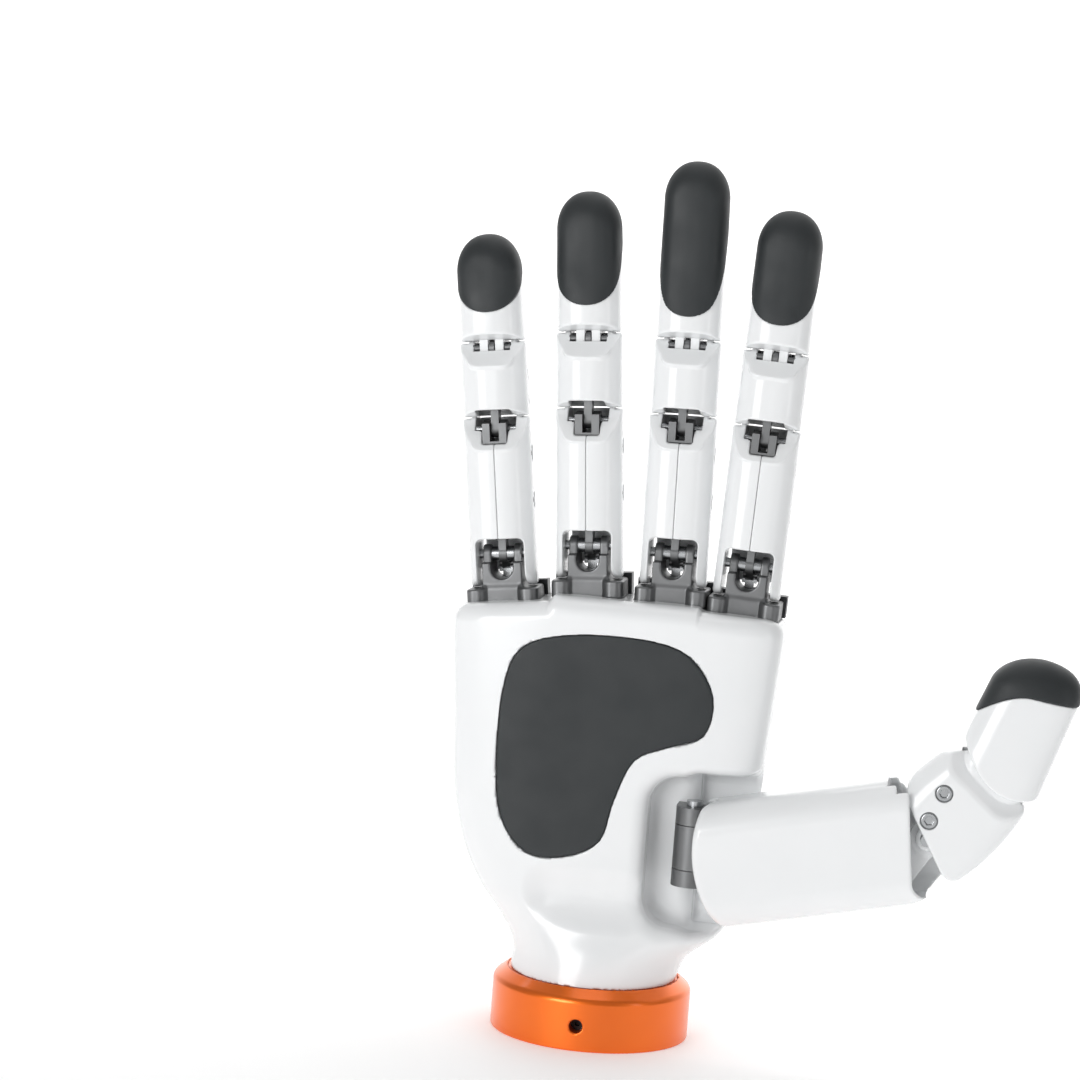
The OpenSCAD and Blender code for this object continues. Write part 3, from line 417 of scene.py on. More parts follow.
def add_node(tree: bpy.types.NodeTree, kind: str, values: dict | None = None,
             links: dict | None = None, settings: dict | None = None) -> bpy.types.Node:
    """Adds one shader node.

    Args:
        tree: The material's node tree.
        kind: The node's type name.
        values: Input name or index to the value set on its socket.
        links: Input name or index to the output that feeds it.
        settings: Node property to value.
    Returns:
        The new node.
    """
    made = tree.nodes.new(kind)
    for key, value in (settings or {}).items():
        setattr(made, key, value)
    for key, value in (values or {}).items():
        made.inputs[key].default_value = value
    for key, output in (links or {}).items():
        tree.links.new(output, made.inputs[key])
    return made


class Surface(Enum):
    """How the surface of a material was made."""

    MOULDED = "moulded"
    BLASTED = "bead blasted"
    TURNED = "turned"
    RUBBERY = "fine matt rubber"
    PRINTED = "solder resist"


@dataclass(frozen=True)
class Finish:
    """One real material and how its surface was made.

    Attributes:
        name: What it is.
        colour: Its main sRGB colour.
        shade: The colour its mottling turns to.
        metallic, roughness, coat: Principled shader values.
        surface: How it was made.
        grain: Size of its surface grain in mm.
        relief: Height of that grain in mm.
        patch: Size in mm of its slow change in gloss.
    """

    name: str
    colour: str
    shade: str
    metallic: float
    roughness: float
    coat: float
    surface: Surface
    grain: float
    relief: float
    patch: float

    def noise(self, tree: bpy.types.NodeTree, size: float, kind: Pair,
              place: bpy.types.NodeSocket) -> bpy.types.NodeSocket:
        """A noise pattern of a real size.

        Args:
            tree: The material's node tree.
            size: Size of its patches in mm.
            kind: Its detail and roughness.
            place: The socket that says where each point is, in metres.
        Returns:
            The pattern's socket.
        """
        made = add_node(tree, "ShaderNodeTexNoise",
                        {"Scale": 1 / (size * MM), "Detail": kind[0], "Roughness": kind[1]},
                        {"Vector": place})
        return made.outputs["Fac"]

    def material(self) -> bpy.types.Material:
        """The finish as a node material, made once and shared.

        Returns:
            The material: mottled colour and gloss from a slow noise, relief from a fine one.
        """
        found = bpy.data.materials.get(self.name)
        if found is not None:
            return found
        made = bpy.data.materials.new(self.name)
        made.use_nodes = True
        tree = made.node_tree
        tree.nodes.clear()
        place = add_node(tree, "ShaderNodeTexCoord").outputs["Object"]
        squeeze = TURNED_STRETCH if self.surface is Surface.TURNED else 1.0
        spread = add_node(tree, "ShaderNodeMapping", {"Scale": (1.0, 1.0, squeeze)},
                          {"Vector": place})
        grain = self.noise(tree, self.grain, GRAIN_NOISE, spread.outputs["Vector"])
        patch = self.noise(tree, self.patch, PATCH_NOISE, place)
        colour = add_node(tree, "ShaderNodeMix",
                          {MIX_A: linear(self.colour), MIX_B: linear(self.shade)},
                          {MIX_SHARE: patch}, {"data_type": "RGBA"})
        gloss = add_node(tree, "ShaderNodeMapRange",
                         {"From Min": PATCH_RANGE[0], "From Max": PATCH_RANGE[1],
                          "To Min": self.roughness * GLOSS_RANGE[0],
                          "To Max": self.roughness * GLOSS_RANGE[1]}, {"Value": patch})
        relief = add_node(tree, "ShaderNodeBump",
                          {"Strength": 1.0, "Distance": self.relief * MM}, {"Height": grain})
        shader = add_node(tree, "ShaderNodeBsdfPrincipled",
                          {"Metallic": self.metallic, "Coat Weight": self.coat,
                           "Coat Roughness": COAT_ROUGHNESS},
                          {"Base Color": colour.outputs[MIX_OUT],
                           "Roughness": gloss.outputs["Result"],
                           "Normal": relief.outputs["Normal"]})
        if self.metallic == 0.0:
            shader.inputs["IOR"].default_value = PLASTIC_IOR
        add_node(tree, "ShaderNodeOutputMaterial", {}, {"Surface": shader.outputs["BSDF"]})
        return made


# White ABS, injection moulded and lacquered: bright, with crisp reflections of the lights.
WHITE_SHELL = Finish("White lacquered ABS", "#f3f4f5", "#eef0f1", 0.0, 0.2, 0.35,
                     Surface.MOULDED, 0.5, 0.0006, 14.0)
# Soft-touch silicone: near black, a broad dull sheen and a very fine matt grain.
BLACK_RUBBER = Finish("Black silicone rubber", "#24282a", "#282c2e", 0.0, 0.55, 0.0,
                      Surface.RUBBERY, 0.25, 0.006, 9.0)
# Aluminium, bead blasted and anodised grey: soft highlights with a fine sparkle.
GREY_METAL = Finish("Grey anodised aluminium", "#7d7e7f", "#737475", 0.85, 0.38, 0.0,
                    Surface.BLASTED, 0.18, 0.006, 5.0)
# The same aluminium anodised dark, for the rail behind the knuckles and the drives.
DARK_METAL = Finish("Dark anodised aluminium", "#4a4b4d", "#424345", 0.8, 0.4, 0.0,
                    Surface.BLASTED, 0.18, 0.006, 5.0)
# Aluminium turned on a lathe and anodised orange: fine rings round the axis, satin.
ORANGE_METAL = Finish("Orange anodised aluminium", "#ff7a1c", "#f46d18", 0.8, 0.34, 0.5,
                      Surface.TURNED, 0.9, 0.004, 20.0)
# Stainless pins and screws: bright ground steel.
PIN_STEEL = Finish("Ground stainless steel", "#b9bbbd", "#a9abad", 1.0, 0.24, 0.0,
                   Surface.TURNED, 0.3, 0.002, 3.0)
# Set screw in black oxide, painted near black so that the screw stands in for the shade inside its
# hole in the ring: partly the real black oxide, partly painted shade.
BLACK_OXIDE_HOLE_SHADE = Finish("Black oxide steel and painted hole shade", "#141414", "#1a1a1a", 0.4, 0.5, 0.0,
                     Surface.BLASTED, 0.3, 0.004, 3.0)
# Circuit board under green solder resist: a low gloss with a slight orange-peel skin.
BOARD_GREEN = Finish("Green solder resist", "#1d5b35", "#184d2d", 0.0, 0.35, 0.2,
                     Surface.PRINTED, 0.8, 0.01, 6.0)

# The record's material slots and the finish that each one takes.
FINISHES = {"white_shell": WHITE_SHELL, "rubber_pad": BLACK_RUBBER,
            "orange_ring": ORANGE_METAL, "grey_metal": GREY_METAL, "dark_rail": DARK_METAL,
            "steel": PIN_STEEL, "motor_case": DARK_METAL, "circuit_board": BOARD_GREEN}


def piece(name: str, skin: Skin, finish: Finish) -> bpy.types.Object:
    """A Blender object from a skin, in metres, with its finish and its corner directions.

    Args:
        name: The object's name.
        skin: The surface in mm.
        finish: What it is made of.
    Returns:
        The object, at the origin and unturned.
    """
    mesh = bpy.data.meshes.new(name)
    faces = len(skin.faces)
    mesh.vertices.add(len(skin.points))
    mesh.vertices.foreach_set("co", (skin.points * MM).ravel())
    mesh.loops.add(faces * 4)
    mesh.loops.foreach_set("vertex_index", skin.faces.ravel().astype(np.int32))
    mesh.polygons.add(faces)
    mesh.polygons.foreach_set("loop_start", np.arange(0, faces * 4, 4, dtype=np.int32))
    mesh.update(calc_edges=True)
    mesh.validate()
    mesh.polygons.foreach_set("use_smooth", np.ones(len(mesh.polygons), bool))
    mesh.normals_split_custom_set_from_vertices(skin.normals)
    made = bpy.data.objects.new(name, mesh)
    bpy.context.scene.collection.objects.link(made)
    mesh.materials.append(finish.material())
    LOG.info("%s: %d faces", name, faces)
    return made


def fit(name: str, skin: Skin, slot: str, body: str, node: str) -> None:
    """Makes one piece, gives it its slot's finish, hides the node that it takes the place of, and
    hangs it on its body.

    Args:
        name: The piece's name.
        skin: Its surface in mm.
        slot: The record's material slot.
        body: The moving body that it rides on.
        node: The node that it takes the place of.
    """
    made = piece(name, skin, FINISHES[slot])
    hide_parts(node)
    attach(made, body)


# ---------------------------------------------------------------- wrist and palm

@dataclass
class Wrist:
    """The orange ring at the wrist, with its set screw hole."""

    ring_r: float = 25.5
    wall_h: float = 13.0
    top_h: float = 15.8
    neck_r: float = 21.9
    neck_drop: float = 0.6
    seat_r: float = 21.3
    bore_r: float = 18.1
    floor_h: float = 8.8
    hole_r: float = 1.7
    hole_z: float = 6.4
    # Edges: foot, shoulder, lip round the neck, and the hole's rim.
    foot_edge: float = 0.5
    shoulder_edge: float = 0.8
    lip_edge: float = 0.25
    hole_edge: float = 0.35
    # Room and grid spacing for the skin.
    box: tuple[Point, Point] = ((-26.0, -26.0, -0.5), (26.0, 26.0, 16.2))
    pitch: float = 0.5

    def ring(self, p: Array) -> Array:
        """Turned ring: an outer cylinder and a flat cone, less the seats for flange and neck.

        Args:
            p: Points in mm.
        Returns:
            Depth below the ring's surface, negative inside.
        """
        r, z = np.hypot(p[:, 0], p[:, 1]), p[:, 2]
        outer = rounded_both(r - self.ring_r, -z, self.foot_edge)
        run, rise = self.ring_r - self.neck_r, self.top_h - self.wall_h
        cone = ((r - self.ring_r) * rise + (z - self.wall_h) * run) / math.hypot(run, rise)
        outer = rounded_both(outer, cone, self.shoulder_edge)
        outer = rounded_both(outer, z - self.top_h, self.lip_edge)
        seat = shared(r - self.seat_r, z - self.floor_h)
        neck = shared(r - self.neck_r, self.top_h - self.neck_drop - z)
        solid = shared(outer, self.bore_r - r, -seat, -neck)
        screw = shared(np.hypot(p[:, 0], z - self.hole_z) - self.hole_r, p[:, 1])
        return carve(solid, screw, self.hole_edge)

    def build(self) -> None:
        """Makes the ring."""
        fit("wrist_collar", skin_of(self.ring, *self.box, self.pitch), "orange_ring", "palm",
            "wrist_ring")


@dataclass
class Palm:
    """Front and back palm shells round the drives, and the rubber pad in the palm."""

    fingers: dict[str, Finger]
    height: float = 112.8
    width: float = 85.5
    thick: float = 30.0
    neck_r: float = 21.3
    neck_z: float = 15.25
    wall: float = 2.0
    edge: float = 4.6
    # Least slope that the outline's depth is divided by.
    least_slope: float = 1e-3
    # The hollow inside starts this far below the neck's foot and ends this far below the top.
    hollow_skip: float = 1.0
    hollow_drop: float = 7.8
    # Steps of the top face at the outer fingers: which way is out, lift and start across.
    steps: tuple = (("little", -1, 0.7, -13.0), ("index", 1, 0.0, -9.6))
    seat_drop: float = 12.3
    step_h: float = 1.6
    seat_rim: float = 0.3
    # The hollow that the thumb's root swings in: a shallow part and a deep part.
    pocket_x: float = 12.3
    pocket_far: float = 90.0
    pocket_z: Pair = (31.0, 69.8)
    pocket_corner: float = 8.0
    pocket_floor: float = -3.7
    pocket_deep: float = 2.6
    pocket_edge: float = 3.0
    pocket_step: float = 24.3
    step_edge: float = 1.0
    step_fillet: float = 4.0
    # Its rim: radius at the middle plane, loss of it per mm of Y, least and most.
    rim: tuple[float, float, float, float] = (2.2, 0.45, 1.6, 4.0)
    # Oval hollow at the root of the palm: middle, with Y in front of the palm's face.
    dimple_at: Point = (-1.2, 6.5, 37.6)
    dimple_half: float = 10.0
    dimple_r: float = 7.4
    dimple_edge: float = 2.5
    # The plane that parts the shells, the gap on each side of it and their edges there.
    split_y: float = 5.0
    split_gap: float = 0.05
    split_edge: float = 0.25
    # Screw holes in the back: places, radius, head's radius, head's depth and rim.
    screw_x: Pair = (-24.0, 24.0)
    screw_z: Pair = (62.0, 98.0)
    screw_r: float = 1.6
    head_r: float = 2.6
    head_t: float = 1.3
    screw_rim: float = 0.2
    # Rubber pad: thickness, its room's gaps round and under it, edges, and the points that
    # its outline passes through, as X and Z.
    pad_t: float = 1.2
    pad_gap: float = 0.15
    pad_under: float = 0.1
    pad_rim: float = 0.15
    pad_round: float = 0.35
    pad_cuts: int = 4
    pad_outline: tuple[Pair, ...] = (
        (-26.6, 88.0), (-22.5, 99.0), (-10.0, 103.3), (8.0, 103.8), (20.0, 100.6),
        (26.6, 91.0), (25.0, 81.0), (16.0, 77.2), (8.0, 73.0), (3.6, 62.0), (1.0, 52.0),
        (-7.0, 47.2), (-17.5, 47.0), (-24.8, 55.5), (-27.0, 70.0))
    # Room and grid spacing for the skins.
    low: Point = (-44.5, -22.0, 15.25)
    high: Point = (45.0, 22.0, 113.3)
    split_room: float = 0.5
    pitch: float = 0.62
    pad_box: tuple[Point, Point] = ((-28.0, -16.0, 45.5), (28.0, -8.0, 105.0))
    pad_pitch: float = 0.45

    def __post_init__(self) -> None:
        """Works out the outline table from the named sizes.

        Each row is a height, the two edges across, half the depth and the squareness.
        """
        half, w = self.thick / 2, self.width / 2
        self.table = np.array([
            [self.neck_z, -self.neck_r, self.neck_r, self.neck_r, 2.0],
            [22.0, -self.neck_r + 0.2, 24.0, 20.4, 2.1],
            [29.0, -24.8, 32.0, 18.0, 2.5],
            [36.0, -30.2, 35.5, half + 1.3, 3.0],
            [45.0, -w + 8.0, w - 5.6, half + 0.4, 3.6],
            [57.0, -w + 4.6, w - 4.3, half, 4.0],
            [82.0, -w + 2.4, w - 2.2, half, 4.4],
            [self.height, -w, w + 0.3, half, 4.6]])

    def section(self, p: Array) -> Array:
        """Superellipse section whose halves and squareness follow the outline table.

        The depth is the superellipse norm of x and y over the halves, less one, divided by
        the length of its slope in x and y.

        Args:
            p: Points in mm.
        Returns:
            Depth below the palm's side, negative inside.
        """
        z = p[:, 2]
        left, right, b, n = (smooth_table(z, self.table[:, 0], self.table[:, k])
                             for k in range(1, 5))
        a = (right - left) / 2
        u = np.abs(p[:, 0] - (left + right) / 2) / a + TINY
        v = np.abs(p[:, 1]) / b + TINY
        g = (u ** n + v ** n) ** (1 / n)
        slope = g ** (1 - n) * np.hypot(u ** (n - 1) / a, v ** (n - 1) / b)
        return (g - 1) / np.maximum(slope, self.least_slope)

    def top(self, p: Array) -> Array:
        """Height above the top face, which steps down to the two outer fingers.

        Args:
            p: Points in mm.
        Returns:
            Depth below the top, negative under it.
        """
        z = p[:, 2] - self.height
        for name, out, lift, start in self.steps:
            q = self.fingers[name].local(p)
            reach = q[:, 0] * out - start
            step = np.minimum(q[:, 2] + self.seat_drop - lift, self.step_h)
            z = np.maximum(z, np.where(reach > 0, step, np.minimum(step, reach + step)))
        return z

    def outside(self, p: Array) -> Array:
        """The whole palm form with its top edge rounded, before the pocket; it runs on below."""
        return rounded_both(self.section(p), self.top(p), self.edge)

    def pocket(self, p: Array) -> Array:
        """The hollow that the thumb's root swings in, open to the front and the thumb's side.

        A shallow part round the hinge and a deep part behind the thumb share one outline.

        Args:
            p: Points in mm.
        Returns:
            Depth into the hollow, negative inside it.
        """
        low, high = self.pocket_z
        outline = Plan(((self.pocket_x + self.pocket_far) / 2, (low + high) / 2),
                       (self.pocket_far - self.pocket_x, high - low), self.pocket_corner)
        plan = outline.depth(p[:, 0], p[:, 2])
        shallow = rounded_both(plan, p[:, 1] - self.pocket_floor, self.pocket_edge)
        deep = rounded_both(plan, p[:, 1] - self.pocket_deep, self.pocket_edge)
        deep = rounded_both(deep, self.pocket_step - p[:, 0], self.step_edge)
        return rounded_join(shallow, deep, self.step_fillet)

    def dimple(self, p: Array) -> Array:
        """Shallow oval hollow at the root of the palm: a capsule lying across it.

        Args:
            p: Points in mm.
        Returns:
            Depth into the capsule, negative inside it.
        """
        x, out, z = self.dimple_at
        q = p - np.array([x, -self.thick / 2 - out, z])
        q[:, 0] = np.sign(q[:, 0]) * np.maximum(np.abs(q[:, 0]) - self.dimple_half, 0.0)
        return np.linalg.norm(q, axis=1) - self.dimple_r

    def shell(self, p: Array) -> Array:
        """Wall between the outside and the hollow, with the pocket, dimple and seats.

        Args:
            p: Points in mm.
        Returns:
            Depth below the wall's surface, negative inside it.
        """
        middle, loss, least, most = self.rim
        rim = np.clip(middle - loss * p[:, 1], least, most)
        body = carve(self.outside(p), self.dimple(p), self.dimple_edge)
        body = carve(body, self.pocket(p), rim)
        hollow = shared(body + self.wall, p[:, 2] - (self.height - self.hollow_drop),
                        self.neck_z - self.hollow_skip - p[:, 2])
        form = shared(body, -hollow, self.neck_z - p[:, 2])
        for finger in self.fingers.values():
            form = carve(form, finger.bracket.seat(finger.local(p)), self.seat_rim)
        return carve(form, self.pad_room(p), self.pad_rim)

    def pad_edge(self, p: Array) -> Array:
        """Distance to the pad's outline: a closed smooth curve through its control points.

        The curve is a Catmull-Rom spline cut into short straight runs; the distance is to the
        nearest run, negative where a ray crosses the outline an odd number of times.

        Args:
            p: Points in mm.
        Returns:
            Distance in X and Z, negative inside the outline.
        """
        x, z = p[:, 0], p[:, 2]
        hold = np.array(self.pad_outline)
        t = np.linspace(0, 1, self.pad_cuts + 1)[:-1][None, :, None]
        p0, p1, p2, p3 = (np.roll(hold, k, axis=0)[:, None, :] for k in (1, 0, -1, -2))
        run = 0.5 * (2 * p1 + (p2 - p0) * t + (2 * p0 - 5 * p1 + 4 * p2 - p3) * t ** 2
                     + (3 * p1 - p0 - 3 * p2 + p3) * t ** 3)
        start = run.reshape(-1, 2)
        end = np.roll(start, -1, axis=0)
        best = np.full(x.shape, np.inf)
        inside = np.zeros(x.shape, bool)
        for (ax, az), (bx, bz) in zip(start, end):
            dx, dz = bx - ax, bz - az
            s = np.clip(((x - ax) * dx + (z - az) * dz) / (dx * dx + dz * dz), 0, 1)
            best = np.minimum(best, (x - ax - s * dx) ** 2 + (z - az - s * dz) ** 2)
            level = (az > z) != (bz > z)
            inside ^= level & (x < ax + (z - az) * dx / (dz if dz else TINY))
        return np.where(inside, -1.0, 1.0) * np.sqrt(best)

    def pad_room(self, p: Array) -> Array:
        """Room for the rubber pad: its outline grown a little, as deep as the pad."""
        under = -(self.section(p) + self.pad_t + self.pad_under)
        return shared(self.pad_edge(p) - self.pad_gap, p[:, 1], under)

    def pad(self, p: Array) -> Array:
        """The rubber pad: a slice of the palm's own surface inside the pad's outline."""
        face = rounded_both(self.section(p), self.pad_edge(p), self.pad_round)
        return shared(face, -(self.section(p) + self.pad_t), p[:, 1])

    def front(self, p: Array) -> Array:
        """The shell on the palm's side of the split."""
        return rounded_both(self.shell(p), p[:, 1] - self.split_y + self.split_gap,
                            self.split_edge)

    def back(self, p: Array) -> Array:
        """The shell on the back of the hand, with the four screw holes.

        Args:
            p: Points in mm.
        Returns:
            Depth below the shell's surface, negative inside it.
        """
        form = rounded_both(self.shell(p), self.split_y + self.split_gap - p[:, 1],
                            self.split_edge)
        sunk = self.thick / 2 - self.head_t - p[:, 1]
        for x in self.screw_x:
            for z in self.screw_z:
                across = np.hypot(p[:, 0] - x, p[:, 2] - z)
                hole = either(across - self.screw_r, shared(across - self.head_r, sunk))
                form = carve(form, shared(hole, -p[:, 1]), self.screw_rim)
        return form

    def build(self) -> None:
        """Makes the two shells and the pad."""
        low, high, room = self.low, self.high, self.split_room
        front = skin_of(self.front, low, (high[0], self.split_y + room, high[2]), self.pitch)
        fit("palm_front", front, "white_shell", "palm", "palm_shell")
        back = skin_of(self.back, (low[0], self.split_y - room, low[2]), high, self.pitch)
        fit("palm_back", back, "white_shell", "palm", "back_shell")
        fit("palm_rubber", skin_of(self.pad, *self.pad_box, self.pad_pitch), "rubber_pad",
            "palm", "palm_pad")


# ---------------------------------------------------------------- fingers

@dataclass(frozen=True)
class Bracket:
    """Grey knuckle bracket: a plate with two feet, a post, and two ears round a U window."""

    plate: Plan = Plan((0.0, 1.15), (18.4, 11.1), 2.0)
    foot: Plan = Plan((6.75, -4.1), (4.9, 5.2), 1.9)
    foot_fillet: float = 0.3
    base_mid: float = -10.84
    base_half: float = 2.24
    base_edge: float = 0.5
    post: Box = Box((-5.1, -4.5, -12.9), (5.1, 5.9, -2.1), 0.3)
    neck: Box = Box((-5.0, -2.5, -4.0), (5.0, 2.5, 0.0))
    ear_r: float = 2.5
    ear_half: float = 5.0
    ear_edge: float = 0.3
    fillet: float = 1.5
    window_r: float = 2.9
    window_z: float = -3.4
    window_rim: float = 0.4
    pin_r: float = 1.2
    # The drive's rod behind the pin.
    rod_y: float = 4.2
    rod_r: float = 1.55
    # Screws down through the plate, one on each side.
    screw_x: float = 7.2
    screw_r: float = 1.2
    screw_rim: float = 0.2
    # The seat cut in the palm: gap round the plate, floor, and room for rail and rod.
    seat_gap: float = 0.1
    seat_floor: float = -13.12
    rail_room: Box = Box((-10.0, 6.7, -13.12), (10.0, 11.1, 8.0))
    rod_room_r: float = 1.8
    rod_mid: float = -16.0
    rod_half: float = 8.0

    def footprint(self, q: Array) -> Array:
        """Plan of the base: a plate with a round-cornered foot at each front end."""
        feet = self.foot.depth(np.abs(q[:, 0]), q[:, 1])
        return rounded_join(self.plate.depth(q[:, 0], q[:, 1]), feet, self.foot_fillet)

    def seat(self, q: Array) -> Array:
        """Pocket in the palm's top for the bracket, the rail behind it and the rod.

        Args:
            q: Points in the finger's frame, in mm.
        Returns:
            Depth into the pocket, negative inside it.
        """
        base = shared(self.footprint(q) - self.seat_gap, self.seat_floor - q[:, 2])
        rod = shared(np.hypot(q[:, 0], q[:, 1] - self.rod_y) - self.rod_room_r,
                     np.abs(q[:, 2] - self.rod_mid) - self.rod_half)
        return either(base, self.rail_room.depth(q), rod)

    def form(self, q: Array) -> Array:
        """The bracket with its window, pin, rod and screw holes.

        Args:
            q: Points in the finger's frame, in mm.
        Returns:
            Depth below the surface, negative inside.
        """
        base = rounded_both(self.footprint(q), np.abs(q[:, 2] - self.base_mid) - self.base_half,
                            self.base_edge)
        ears = drum(q, (0.0, 0.0), self.ear_r, self.ear_half, self.ear_edge)
        tower = either(self.post.depth(q), ears, self.neck.depth(q))
        form = rounded_join(base, tower, self.fillet)
        window = np.hypot(q[:, 0], np.minimum(q[:, 2] - self.window_z, 0.0)) - self.window_r
        form = carve(form, window, self.window_rim)
        rod = shared(np.hypot(q[:, 0], q[:, 1] - self.rod_y) - self.rod_r, q[:, 2])
        form = shared(form, -bore(q, 0.0, 0.0, self.pin_r), -rod)
        for side in (-1, 1):
            hole = np.hypot(q[:, 0] - side * self.screw_x, q[:, 1]) - self.screw_r
            form = carve(form, hole, self.screw_rim)
        return form


@dataclass(frozen=True)
class Sizes:
    """Sizes that the four fingers share, in mm from each knuckle pivot."""

    # Each segment's width, depth from front to back, and length.
    base_w: float = 17.2
    base_t: float = 16.5
    base_len: float = 35.2
    mid_w: float = 16.8
    mid_t: float = 16.2
    mid_len: float = 19.2
    tip_w: float = 16.3
    tip_t: float = 16.0
    # Round corners outside and inside, wall, clearance, long edges and the drums' fillet.
    corner: float = 7.2
    mid_corner: float = 7.1
    inner: float = 4.0
    wall: float = 1.6
    gap: float = 0.35
    edge: float = 0.45
    drum_fillet: float = 0.15
    # Hinge lines: place front to back, slope of each segment's start and end, and slots.
    hinge_y: float = -2.0
    rise: float = 2.0
    foot_edge: float = 0.6
    mid_bevel: float = 8.2
    end_bevel: float = 5.4
    mid_window: float = 10.4
    end_window: float = 9.4
    window_gap: float = 0.1
    window_front: float = 2.1
    window_rim: float = 0.25
    # First segment: edge of its round root, and the gate over the bracket.
    root_edge: float = 1.0
    gate_half: float = 6.2
    gate_top: float = 4.2
    gate_back: float = 6.45
    gate_corner: float = 1.6
    gate_rim: float = 0.5
    # Its room for the drive: halves across and front to back, start, and drop from the end.
    room_half: Pair = (4.4, 4.6)
    room_low: float = 3.0
    room_drop: float = 7.6
    # The notch in its end for the middle joint's yoke.
    yoke_half: float = 3.3
    yoke_back: float = -1.0
    yoke_drop: float = 6.9
    yoke_edge: float = 0.6
    yoke_rim: float = 0.4
    # Its knuckle pin, seam and the two screws in its right side.
    pin_r: float = 1.3
    pin_half: float = 7.8
    seam_gap: float = 0.04
    seam_edge: float = 0.22
    base_screws: Pair = (13.5, 25.5)
    base_screw_y: float = 0.6
    base_screw_r: float = 2.0
    base_screw_x: float = 7.35
    base_screw_rim: float = 0.3
    # Middle segment: room over the first knuckle, notch in front, rod slot and screws.
    hollow_top: float = 0.5
    hollow_half: float = 4.5
    hollow_rim: float = 0.25
    notch_low: float = 20.0
    notch_drop: float = 0.1
    notch_edge: float = 0.2
    slot_half: float = 1.1
    slot_y: Pair = (-3.9, 2.6)
    slot_len: float = 12.0
    mid_screws: Pair = (4.2, 10.6)
    mid_screw_y: float = 1.6
    mid_screw_r: float = 1.5
    mid_screw_t: float = 1.0
    mid_screw_rim: float = 0.2
    # Fingertip: dome over width, squareness, bow towards the back over depth.
    dome: float = 0.56
    square: Pair = (2.75, 0.5)
    bow: float = -0.06
    # The line where the rubber starts: drop at the top, round lower end and its edge.
    pad_drop: float = 2.5
    pad_round: float = 0.4
    pad_edge: float = 0.5
    shell_rim: float = 0.2
    # The end joint's fork inside the tip.
    fork_w: float = 6.2
    fork_slot: float = 1.7
    fork_room: float = 2.3
    fork_front: float = 1.7
    fork_back: float = 4.3
    fork_lap: float = 0.4
    fork_pin: float = 1.05
    # Rubber: how proud it stands, its flat face, and where the flat fades in and out.
    skin: float = 0.3
    flat: float = 0.3
    flat_half: float = 4.7
    fade: float = 5.0
    fade_low: float = 1.5
    fade_high: float = 4.5
    rubber_gap: float = 0.02
    rubber_edge: float = 0.3
    # Room over the tip for its skin, and farther than any piece reaches.
    tip_room: float = 1.0
    far: float = 20.0

    @property
    def mid_pivot(self) -> float:
        """Height of the middle joint above the knuckle."""
        return self.base_len - (self.mid_bevel - self.rise) / 2

    @property
    def mid_end(self) -> float:
        """Height where the middle segment ends and the tip starts."""
        return self.base_len + self.mid_len

    @property
    def end_pivot(self) -> float:
        """Height of the end joint above the knuckle."""
        return self.mid_end - (self.end_bevel - self.rise) / 2

    @property
    def mid_r(self) -> float:
        """Radius of the knuckle inside the middle segment's base."""
        return self.mid_t / 2 - self.hinge_y - self.wall - self.gap

    @property
    def end_r(self) -> float:
        """Radius of the knuckle inside the tip's base."""
        return self.tip_t / 2 - self.hinge_y - self.wall - self.gap


